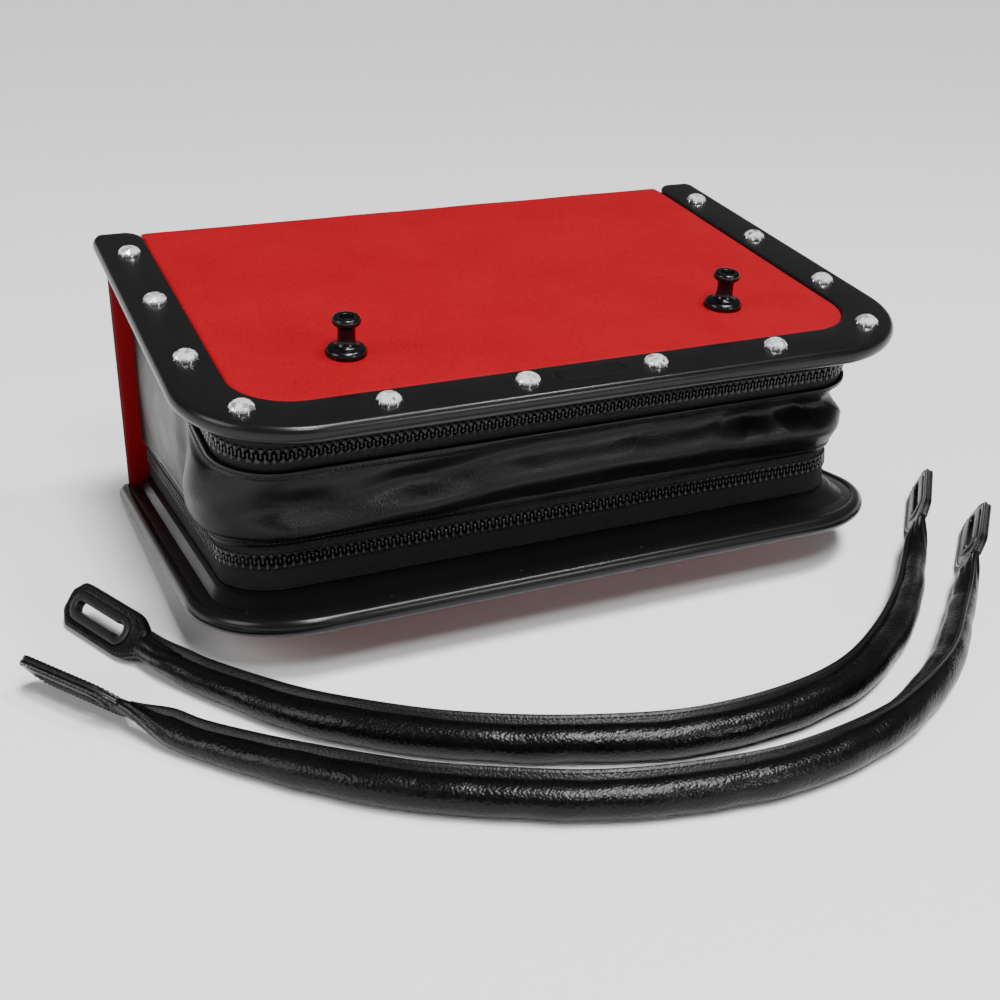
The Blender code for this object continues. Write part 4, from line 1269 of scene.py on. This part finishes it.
@dataclass
class Spine:
    """Stiff spine: two layers of red leather on a black core whose painted edge shows."""

    finishes: Finishes
    height: float = 201 * MM
    wide: float = 227 * MM
    narrow: float = 201.2 * MM
    fold: float = 2.4 * MM
    step: float = 5.8 * MM

    def layer(self, name: str, near: float, far: float, grow: float) -> bpy.types.Object:
        """A flat layer of the spine.

        Args:
            name: Piece name.
            near: Depth of its outer face behind the spine's outer face.
            far: Depth of its inner face.
            grow: How much wider than the spine it is at each edge.
        Returns:
            The layer.
        """
        levels = [self.fold, self.step - 0.4 * MM, self.step, self.step + 1.5 * MM]
        inner = np.linspace(self.step + 4 * MM, self.height - self.step - 4 * MM, 24)
        rows = np.array([*levels, *inner, *(self.height - np.array(levels[::-1]))])
        beside_panels = (rows < self.step) | (rows > self.height - self.step)
        widths = np.where(beside_panels, self.narrow, self.wide - 1.5 * MM)
        widths[3:-3] = self.wide
        bottom, top = Side.BOTTOM.pivot, Side.TOP.pivot
        up = unit((top - bottom)[None])[0]
        outward = np.array([0, up[2], -up[1]])
        plan = bottom + up * rows[:, None] - outward * (near + far) / 2
        plan[:, 0] = 0
        facing = np.broadcast_to(outward, plan.shape)
        points = slab_rows(plan, widths + grow, facing, far - near, 41, 2.5 * MM)
        points[..., 0] += bottom[0]
        return skin(name, points)

    def build(self) -> None:
        """Outer layer, core and inner layer."""
        red, edge = self.finishes.red, self.finishes.edge
        outer = self.layer("spine_outer_layer", 0.2 * MM, 1.3 * MM, -1.2 * MM)
        finish_piece(outer, "middle", red, "red_leather", "spine_leather")
        core = self.layer("spine_core", 0.9 * MM, 2.7 * MM, 0)
        finish_piece(core, "middle", edge, "black_leather")
        inner = self.layer("spine_inner_layer", 2.3 * MM, 3.3 * MM, -1.2 * MM)
        finish_piece(inner, "middle", red, "red_leather")


def loft(name: str, path: np.ndarray, across: np.ndarray, up: np.ndarray,
         outline: np.ndarray) -> bpy.types.Object:
    """A solid along a path: a section is its path point plus the outline's coordinates times two axes.

    Args:
        name: Piece name.
        path: Path points (n, 3).
        across: First axis at each point, (n, 3).
        up: Second axis at each point, (n, 3).
        outline: One closed outline (m, 2), or one for each path point (n, m, 2).
    Returns:
        The closed object.
    """
    each = np.broadcast_to(outline, (len(path), *outline.shape[-2:]))
    return skin(name, path[:, None] + across[:, None] * each[..., :1] + up[:, None] * each[..., 1:])


def stadium(length: float, width: float, centre: float = 0.0) -> np.ndarray:
    """An outline with half-round ends: a circle whose right half moves right and whose left half moves left.

    Args:
        length: From tip to tip, along x.
        width: Across, along y.
        centre: Its middle on x.
    Returns:
        The closed outline, starting at its +x tip.
    """
    angle = np.linspace(0, 2 * pi, 97)[:-1]
    hand = np.sign(np.round(np.cos(angle), 9))
    x = hand * (length - width) / 2 + width / 2 * np.cos(angle) + centre
    return np.stack([x, width / 2 * np.sin(angle)], -1)


def ring_slab(name: str, outer: np.ndarray, inner: np.ndarray, low: float, high: float, bevel: float,
              origin: np.ndarray, axes: np.ndarray) -> bpy.types.Object:
    """A flat plate with one hole and with eased edges.

    Both outlines are resampled to 160 points by their running length, and joined point to point.

    Args:
        name: Piece name.
        outer: Closed outline, starting at its +x tip.
        inner: Closed outline of the hole, starting at its +x tip and turning the same way.
        low: Lower height.
        high: Upper height.
        bevel: Size of the eased edges.
        origin: The plate's own origin in the row frame.
        axes: Three rows: its own x, y and z.
    Returns:
        The closed object.
    """
    rings = []
    for outline, away in ((outer, -1), (inner, 1)):
        closed = np.concatenate([outline, outline[:1]])
        run = np.linalg.norm(np.diff(closed, axis=0), axis=1).sum()
        even = spaced(closed, run / 160)[:-1]
        side = unit(np.roll(even, -1, axis=0) - np.roll(even, 1, axis=0))
        rings.append((even, away * np.stack([side[:, 1], -side[:, 0]], -1)))
    (edge, inward), (hole, outward) = rings
    steps = [(edge, inward, 1, low, 0), (edge, inward, 0.3, low, 0.3), (edge, inward, 0, low, 1),
             (edge, inward, 0, high, -1), (edge, inward, 0.3, high, -0.3), (edge, inward, 1, high, 0),
             (hole, outward, 1, high, 0), (hole, outward, 0.3, high, -0.3), (hole, outward, 0, high, -1),
             (hole, outward, 0, low, 1), (hole, outward, 0.3, low, 0.3), (hole, outward, 1, low, 0)]
    columns = []
    for line, normal, share, height, lift in steps:
        level = np.full((len(line), 1), height + lift * bevel)
        columns.append(np.concatenate([line + normal * bevel * share, level], 1))
    return skin(name, np.stack(columns, 1) @ axes + origin, loop=True)


@dataclass
class Divider:
    """Lined board between the compartments, with a quilted stick pocket on top and a flat pocket below."""

    finishes: Finishes
    channels: int = 4

    def build(self) -> None:
        """Build the board and both pockets inside their CAD boxes."""
        parts = (("divider_board", 24, 1, False), ("stick_pocket", 30, 1, True),
                 ("accessory_pocket", 30, -1, False))
        for node, radius, sign, quilted in parts:
            low, high = (np.array(corner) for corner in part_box(node))
            run = (high[1] - low[1]) * (1 - np.cos(np.linspace(0, pi, 81))) / 2
            radius *= MM
            rear = high[1] - low[1] - run if node != "divider_board" else np.full(81, radius)
            reach = np.minimum(np.minimum(run, rear), radius)
            half = (high[0] - low[0]) / 2 - radius + np.sqrt(radius**2 - (radius - reach) ** 2)
            middle = (low + high) / 2
            plan = np.stack([0 * run + middle[0], low[1] + run, 0 * run + middle[2]], -1)
            outward = np.tile([0, 0, float(sign)], (81, 1))
            loops = slab_rows(plan, half, outward, high[2] - low[2], 41, 3 * MM)
            if quilted:
                valley = 1 - np.abs(np.sin(pi * self.channels * run / run[-1])) ** 0.5
                loops[:, 1:40, 2] -= 1.4 * MM * valley[:, None]
            finish_piece(skin(f"{node}_sewn", loops), "middle", self.finishes.lining, "lining", node)
            for number in range(1, self.channels if quilted else 1):
                pick = np.abs(run - round(number * run[-1] / self.channels, 6)).argmin()
                line = loops[pick, 2:39] + (0, 0, 0.1 * MM)
                seam = stitch_line(f"{node}_seam_{number}", line, np.tile([0, 0, 1.0], (37, 1)))
                finish_piece(seam, "middle", self.finishes.thread, "lining")


@dataclass
class Slider:
    """Zip slider: two plates with lips round the chain, a post between them, a bridge and its pull."""

    side: Side
    finishes: Finishes
    at_rear: float = -28 * MM
    gap: float = 2.5 * MM
    plate: float = 2.6 * MM
    half_length: float = 11.5 * MM
    half_width: float = 7 * MM
    bridge: float = 3.8 * MM
    pull_length: float = 26 * MM

    def build(self) -> None:
        """Build the slider and its pull."""
        flip = -1 if self.side is Side.TOP else 1
        origin = self.side.place(np.array([flip * WALL.half, self.at_rear, PANEL.zip_centre]))
        outward, back = self.side.turn(np.array([flip * 1.0, 0, 0])), self.side.turn(np.array([0, 1.0, 0]))
        axes = np.stack([back, np.cross(outward, back), outward])
        word = self.side.zip_word.split("_")[0]
        metal = self.finishes.enamel
        top = self.gap + self.plate
        cover = [(self.gap, 0.96, 0.95), (self.gap + 0.4 * MM, 1, 1), (top - 0.8 * MM, 1, 1),
                 (top - 0.2 * MM, 0.95, 0.92), (top, 0.88, 0.82)]
        shell = [(z, a * self.half_length, b * self.half_width) for z, a, b in cover]
        under = [(-z, a, b) for z, a, b in reversed(shell)]
        post = [(-self.gap - 0.3 * MM, 4 * MM, 0.55 * MM), (self.gap + 0.3 * MM, 4 * MM, 0.55 * MM)]
        outer = scatter(f"{word}_slider_outer_plate", bar_shape(shell, 40), origin[None], axes[None])
        finish_piece(outer, f"{word}_slider", metal, "slider_metal", f"{word}_slider")
        for name, sections in (("inner_plate", under), ("post", post)):
            obj = scatter(f"{word}_slider_{name}", bar_shape(sections, 40), origin[None], axes[None])
            finish_piece(obj, f"{word}_slider", metal, "slider_metal")
        high = self.half_width - 0.8 * MM
        corners = [(s, t) for s in (-1, 1) for t in (-1, 1)]
        lips = origin + np.array([s * high * axes[1] + t * 2.1 * MM * outward for s, t in corners])
        lip = bar_shape([(-0.7 * MM, 8.5 * MM, 0.6 * MM), (0.7 * MM, 8.5 * MM, 0.6 * MM)], 16)
        obj = scatter(f"{word}_slider_lips", lip, lips, np.broadcast_to(axes, (4, 3, 3)))
        finish_piece(obj, f"{word}_slider", metal, "slider_metal")
        crown = top + self.bridge - 0.7 * MM
        path = rounded([(-5.2 * MM, top - 0.6 * MM, 0), (-4.4 * MM, crown, 2 * MM), (4.4 * MM, crown, 2 * MM),
                        (5.2 * MM, top - 0.6 * MM, 0)], steps=8)
        step = unit(np.gradient(path, axis=0))
        line = path @ axes[[0, 2]] + origin
        thin = np.stack([-step[:, 1], step[:, 0]], -1) @ axes[[0, 2]]
        wide = np.broadcast_to(axes[1], line.shape)
        obj = loft(f"{word}_slider_bridge", line, wide, thin, stadium(3 * MM, 1.4 * MM))
        finish_piece(obj, f"{word}_slider", metal, "slider_metal")
        half, end = 4.2 * MM, self.pull_length
        upper = [(end, half, 3 * MM), (0.35 * end, half * 0.9, 6 * MM), (-0.6 * MM, half, 1.5 * MM)]
        lower = [(x, -y, r) for x, y, r in reversed(upper)]
        shape = rounded([(end, 0, 0), *upper, *lower], steps=8)
        hole = rounded([(6.6 * MM, 0, 0), (6.6 * MM, 2.2 * MM, 1 * MM), (0.6 * MM, 2.2 * MM, 1 * MM),
                        (0.6 * MM, -2.2 * MM, 1 * MM), (6.6 * MM, -2.2 * MM, 1 * MM)])
        hinge = origin + outward * (top + 1.2 * MM)
        hang = np.stack([-back, -axes[1], outward])
        obj = ring_slab(f"{word}_pull_plate", shape, hole, -0.6 * MM, 0.6 * MM, 0.25 * MM, hinge, hang)
        finish_piece(obj, f"{word}_pull", metal, "slider_metal", f"{word}_pull")


@dataclass(frozen=True)
class Tube:
    """A handle's middle line and what its section is at each point of it; bend is its curvature in plan."""

    path: np.ndarray
    side: np.ndarray
    up: np.ndarray
    run: np.ndarray
    near: np.ndarray
    lean: np.ndarray
    wide: np.ndarray
    deep: np.ndarray
    bend: np.ndarray


@dataclass
class Handle:
    """A padded leather tube with a stitched fin, gathered at each end into a tab with a keyhole plate."""

    name: str
    route: tuple
    fin_angles: tuple
    finishes: Finishes
    radius: float = 10.5 * MM
    end_radius: float = 8 * MM
    neck_wide: float = 8.9 * MM
    neck_deep: float = 3.7 * MM
    tab_length: float = 80 * MM
    tab_half: float = 14.5 * MM
    tab_thick: float = 5 * MM
    plate_at: float = 44.5 * MM
    plate_length: float = 61 * MM
    plate_width: float = 18.5 * MM
    plate_thick: float = 6.6 * MM
    fin_height: float = 5.2 * MM
    fin_turn: tuple = (0.5, 0.85)

    def tab_frame(self, hand: str) -> tuple[np.ndarray, np.ndarray]:
        """Where a tab starts and how it lies, from the principal axes of its CAD plate.

        Args:
            hand: "left" or "right".
        Returns:
            Root point, and three rows: to the tip, across, and the tab's normal.
        """
        mesh = frame["nodes"][f"{self.name}_{hand}_plate"].data
        points = np.empty(len(mesh.vertices) * 3)
        mesh.vertices.foreach_get("co", points)
        points = points.reshape(-1, 3)
        middle = (points.max(0) + points.min(0)) / 2
        axes = np.linalg.svd(points - middle, full_matrices=False)[2]
        tip = np.array(self.route[0 if hand == "left" else -1]) * MM + Side.BOTTOM.pivot[:2]
        along = axes[0] * np.sign(np.dot(axes[0][:2], tip - middle[:2]))
        normal = axes[2] * np.sign(axes[2][2])
        return middle - along * self.plate_at, np.stack([along, np.cross(normal, along), normal])

    def keyhole(self) -> np.ndarray:
        """Outline of the keyhole: a small half round at the slot's tip, then most of a larger round.

        Returns:
            The closed outline, starting at the slot's tip.
        """
        wide, narrow, rim = 4.7 * MM, 3.1 * MM, 5.5 * MM
        near = self.plate_at - self.plate_length / 2 + wide + rim
        far = self.plate_at + self.plate_length / 2 - narrow - rim
        meet = np.arcsin(narrow / wide)
        first, last = np.linspace(0, pi / 2, 9), np.linspace(-pi / 2, 0, 9)[:-1]
        round_end = np.linspace(meet, 2 * pi - meet, 33)
        parts = [(far, narrow, first), (near, wide, round_end), (far, narrow, last)]
        return np.concatenate([np.stack([x + r * np.cos(a), r * np.sin(a)], -1) for x, r, a in parts])

    def build_tab(self, hand: str) -> None:
        """Two leather layers with a painted core between them, stitches on both faces, and the plate.

        Args:
            hand: "left" or "right".
        """
        root, axes = self.tab_frame(hand)
        half, neck, tip = self.tab_half, 8 * MM, self.tab_length
        upper = [(tip, half - 8 * MM, 2 * MM), (tip - 8 * MM, half, 3 * MM), (12 * MM, half, 6 * MM),
                 (0, neck, 1 * MM)]
        corners = [*upper, *((x, -y, r) for x, y, r in reversed(upper))]
        outline = rounded([(tip, 0, 0), *corners], closed=True)
        seat = stadium(self.plate_length + 0.6 * MM, self.plate_width + 0.6 * MM, self.plate_at)
        name, body = f"{self.name}_{hand}", self.name
        thick = self.tab_thick / 2
        layers = (("tab_face", 0.5 * MM, thick, [f"{name}_tab"]), ("tab_back", -thick, -0.5 * MM, []))
        for word, low, high, nodes in layers:
            obj = ring_slab(f"{name}_{word}", outline, seat, low, high, 0.45 * MM, root, axes)
            finish_piece(obj, body, self.finishes.pebbled, "black_leather", *nodes)
        centre = np.array([self.plate_at, 0])
        spread = np.linalg.norm(outline - centre, axis=1, keepdims=True)
        inside = centre + (outline - centre) * (1 - 0.5 * MM / spread)
        core = ring_slab(f"{name}_tab_core", inside, seat, -0.9 * MM, 0.9 * MM, 0.1 * MM, root, axes)
        finish_piece(core, body, self.finishes.edge, "black_leather")
        rim = stadium(self.plate_length, self.plate_width, self.plate_at)
        deep = self.plate_thick / 2
        plate = ring_slab(f"{name}_plate_moulded", rim, self.keyhole(), -deep, deep, 1.1 * MM, root, axes)
        finish_piece(plate, body, self.finishes.plate, "plate_nylon", f"{name}_plate")
        seam = rounded([(x - 0.1 * MM if x > tip / 2 else x + 1.5 * MM, y * 0.86, r) for x, y, r in corners])
        seam[:, 0] = np.minimum(seam[:, 0], tip - 2.1 * MM)
        for word, height in (("face", thick), ("back", -thick)):
            line = np.concatenate([seam, np.full((len(seam), 1), height)], 1) @ axes + root
            facing = np.tile(axes[2] * np.sign(height), (len(line), 1))
            stitches = stitch_line(f"{name}_{word}_stitches", line, facing, 3.2 * MM, 0.34 * MM)
            finish_piece(stitches, body, self.finishes.thread, "black_leather")

    def middle_line(self) -> Tube:
        """The tube's middle line, and its section's turn, width and depth at each point.

        The line leaves each tab along the tab's own line and keeps to the route between them. The section is
        an ellipse that flattens and turns towards the tab's plane over the last stretch.

        Returns:
            The tube.
        """
        frames = [self.tab_frame(hand) for hand in ("left", "right")]
        line = smooth_path(np.array(self.route) * MM + Side.BOTTOM.pivot[:2], 4 * MM)
        clear = self.tab_length + 14 * MM
        far = [np.linalg.norm(line - end, axis=1) > clear for end in (line[0], line[-1])]
        starts = [root + axes[0] * 3 * MM for root, axes in frames]
        between = line[far[0] & far[1]][::4]
        line = smooth_path(np.concatenate([starts[0][None, :2], between, starts[1][None, :2]]), 2.5 * MM)
        run = np.concatenate([[0], np.cumsum(np.linalg.norm(np.diff(line, axis=0), axis=1))])
        near = np.minimum(run, run[-1] - run)
        fade = [1 - smoothstep(run, 4 * MM, 55 * MM), 1 - smoothstep(run[-1] - run, 4 * MM, 55 * MM)]
        full = self.end_radius + (self.radius - self.end_radius) * smoothstep(near, 15 * MM, 170 * MM)
        height = full + sum(f * (start[2] - full) for f, start in zip(fade, starts))
        path = np.concatenate([line, height[:, None]], 1)
        ahead = unit(np.gradient(path, axis=0))
        side = unit(np.cross([0, 0, 1.0], ahead))
        up = np.cross(ahead, side)
        lean = np.zeros(len(path))
        for f, (_, axes), end in zip(fade, frames, (0, -1)):
            angle = np.arctan2(axes[1] @ up[end], axes[1] @ side[end])
            lean += f * (angle - pi * np.round(angle / pi))
        grow = smoothstep(near, 0, 34 * MM)[:, None]
        wide = self.neck_wide + (full[:, None] - self.neck_wide) * grow
        deep = self.neck_deep + (full[:, None] - self.neck_deep) * grow**0.9
        bend = np.gradient(np.unwrap(np.arctan2(ahead[:, 1], ahead[:, 0])), run)
        return Tube(path, side, up, run, near, lean[:, None], wide, deep, bend)

    def build_grip(self, tube: Tube) -> None:
        """The padded tube: pleats gathered at the necks, wrinkles inside each bend, and soft dents all along.

        Args:
            tube: Its middle line and sections.
        """
        run, near, lean = tube.run[:, None], tube.near, tube.lean
        turn = np.arange(64) * 2 * pi / 64
        pleat = (1 - smoothstep(near, 12 * MM, 48 * MM)) * smoothstep(near, 1 * MM, 7 * MM)
        dent = 0.9 * MM * pleat[:, None] * (0.5 - 0.5 * np.cos(turn * 9 + 0.6))
        inner = np.cos(turn[None] + lean) * np.sign(tube.bend)[:, None]
        crush = np.clip(np.abs(tube.bend) / 6, 0, 1)[:, None] * np.clip(inner, 0, 1)
        wave = run * 2 * pi / (8 * MM) + 1.5 * np.sin(turn * 2) + 1.5 * np.sin(run * 150)
        by_tab = (0.15 + 0.6 * (1 - smoothstep(near, 30 * MM, 120 * MM)))[:, None]
        dent += (0.15 + 0.8 * crush) * MM * (0.5 - 0.5 * np.cos(wave)) * by_tab
        seed = len(self.name) + int(tube.run[-1] * 1000)
        dent += 0.35 * MM * (1 + ripples(run, turn[None] * self.radius, 34 * MM, seed))
        outline = np.stack([(tube.wide - dent) * np.cos(turn), (tube.deep - dent) * np.sin(turn)], -1)
        across = tube.side * np.cos(lean) + tube.up * np.sin(lean)
        over = tube.up * np.cos(lean) - tube.side * np.sin(lean)
        grip = loft(f"{self.name}_padded_grip", tube.path, across, over, outline)
        finish_piece(grip, self.name, self.finishes.pebbled, "black_leather", f"{self.name}_grip")

    def build_fin(self, tube: Tube) -> None:
        """The closing fin and its stitches, standing on the surface of the flattened section.

        An ellipse's surface lies 1 / hypot(cos / width, sin / depth) from its middle at a given angle.

        Args:
            tube: The middle line and sections.
        """
        keep = tube.near > 5 * MM
        side, up, wide, deep = tube.side[keep], tube.up[keep], tube.wide[keep], tube.deep[keep]
        share = smoothstep(tube.run[keep] / tube.run[-1], *self.fin_turn)[:, None]
        tall = self.fin_height * (0.25 + 0.75 * smoothstep(tube.near[keep], 6 * MM, 40 * MM))[:, None]
        tall = tall * (1 - 0.45 * share)
        towards = np.radians(self.fin_angles[0] + (self.fin_angles[1] - self.fin_angles[0]) * share)
        facing = towards - tube.lean[keep]
        reach = 1 / np.hypot(np.cos(facing) / wide, np.sin(facing) / deep) - 0.6 * MM
        out = side * np.cos(towards) + up * np.sin(towards)
        flank = up * np.cos(towards) - side * np.sin(towards)
        shape = np.array([(-1.5, -1.3), (0.55, -1.15), (0.9, -0.75), (1.0, -0.25), (1.0, 0.25), (0.9, 0.75),
                          (0.55, 1.15), (-1.5, 1.3)])
        lift = np.where(shape[None, :, 0] > 0, shape[None, :, 0] * tall, shape[None, :, 0] * MM)
        section = np.stack([reach + lift, np.broadcast_to(shape[:, 1] * MM, lift.shape)], -1)
        fin = loft(f"{self.name}_fin", tube.path[keep], out, flank, section)
        finish_piece(fin, self.name, self.finishes.soft, "black_leather")
        seam = tube.path[keep] + out * (reach + 0.55 * tall) + flank * 1.15 * MM
        stitches = stitch_line(f"{self.name}_fin_stitches", seam, flank, 3.4 * MM, 0.36 * MM)
        finish_piece(stitches, self.name, self.finishes.thread, "black_leather")

    def build(self) -> None:
        """Build the padded tube, its fin and both tabs."""
        tube = self.middle_line()
        self.build_grip(tube)
        self.build_fin(tube)
        for hand in ("left", "right"):
            self.build_tab(hand)


# Degrees from the inner side up to where the fin stands, at the left end and at the right end
FIN_ANGLES = {"handle_a": (52, 44), "handle_b": (52, 106)}

# Where each handle lies, in millimetres from the middle of the bottom panel's rear edge, tip to tip
HANDLE_ROUTES = {
    "handle_a": ((-292, -175), (-259, -254), (-238, -292), (-197, -351), (-153, -391), (-108, -419),
                 (-60, -440), (-9, -454), (46, -454), (98, -441), (146, -412), (190, -374), (230, -331),
                 (252, -306), (314, -233)),
    "handle_b": ((-326, -247), (-283, -314), (-252, -356), (-211, -401), (-170, -437), (-127, -463),
                 (-83, -484), (-34, -497), (22, -502), (79, -491), (122, -471), (163, -444), (202, -408),
                 (242, -369), (313, -295)),
}


@dataclass(frozen=True)
class Studio:
    """Camera, pale floor and soft lights."""

    offset: tuple = (-0.3543, -0.9802, 0.4231)
    forward: tuple = (0.3658, 0.8365, -0.4080)
    lens: float = 50.13
    roll: float = 0.25
    fill: float = 0.12
    lamps: tuple = (
        ("ceiling_panel", "SUN", (0.25, -0.6, 2.2), radians(18), 4.0),
        ("softbox_front", "AREA", (-0.1, -1.4, 1.9), 0.5, 26.0),
        ("softbox_over", "AREA", (0.9, -0.4, 2.3), 0.35, 22.0),
        ("softbox_left", "AREA", (-2.0, -0.2, 1.2), 1.0, 20.0),
        ("softbox_right", "AREA", (0.9, -2.2, 1.0), 0.5, 14.0),
    )

    def build(self) -> None:
        """Set up the studio."""
        scene = bpy.context.scene
        camera = bpy.data.objects.new("camera", bpy.data.cameras.new("camera"))
        camera.data.lens = self.lens
        camera.data.sensor_width = 36.0
        camera.data.clip_end = 200.0
        turn = Vector(self.forward).to_track_quat("-Z", "Y").to_matrix().to_4x4()
        place = Matrix.Translation(Vector(Side.BOTTOM.pivot) + Vector(self.offset))
        camera.matrix_world = place @ turn @ Matrix.Rotation(radians(self.roll), 4, "Z")
        scene.collection.objects.link(camera)
        scene.camera = camera
        for name, kind, at, size, power in self.lamps:
            lamp = bpy.data.lights.new(name, kind)
            setattr(lamp, "angle" if kind == "SUN" else "size", size)
            lamp.energy = power
            obj = bpy.data.objects.new(name, lamp)
            aim = (Vector((0, 0, 0.08)) - Vector(at)).to_track_quat("-Z", "Y").to_matrix().to_4x4()
            obj.matrix_world = Matrix.Translation(at) @ aim
            scene.collection.objects.link(obj)
        world = bpy.data.worlds.new("studio")
        world.use_nodes = True
        background = world.node_tree.nodes["Background"]
        background.inputs["Color"].default_value = (1, 1, 1, 1)
        background.inputs["Strength"].default_value = self.fill
        scene.world = world
        # Radius and height in metres: flat for 40 m, then curving up past the horizon
        sweep_line = np.array([(0, 0), (3, 0), (12, 0), (40, 0), (44, 0.5), (47, 1.8), (49, 4), (50, 7),
                               (51, 7), (51, -1), (0, -1)])
        floor = turned("floor", sweep_line, np.array([0, 0, -0.2 * MM]), np.eye(3), 96)
        # White acrylic sweep: nearly uniform, with a faint soft reflection
        floor.data.materials.append(Finish("white_sweep", "#F4F4F4", "#F0F0F0", 0.5, 0.02, 0.8).make())


def main() -> None:
    """Make the finishes, then build the studio and every sub-assembly."""
    logging.basicConfig(level=logging.INFO, format="%(message)s")
    finishes = Finishes()
    Studio().build()
    for side in Side:
        PanelPieces(side, finishes).build()
        Zip(side, finishes).build()
        Slider(side, finishes).build()
    Gusset(finishes).build()
    Spine(finishes).build()
    Divider(finishes).build()
    for name, route in HANDLE_ROUTES.items():
        Handle(name, route, FIN_ANGLES[name], finishes).build()


if __name__ == "__main__":
    main()
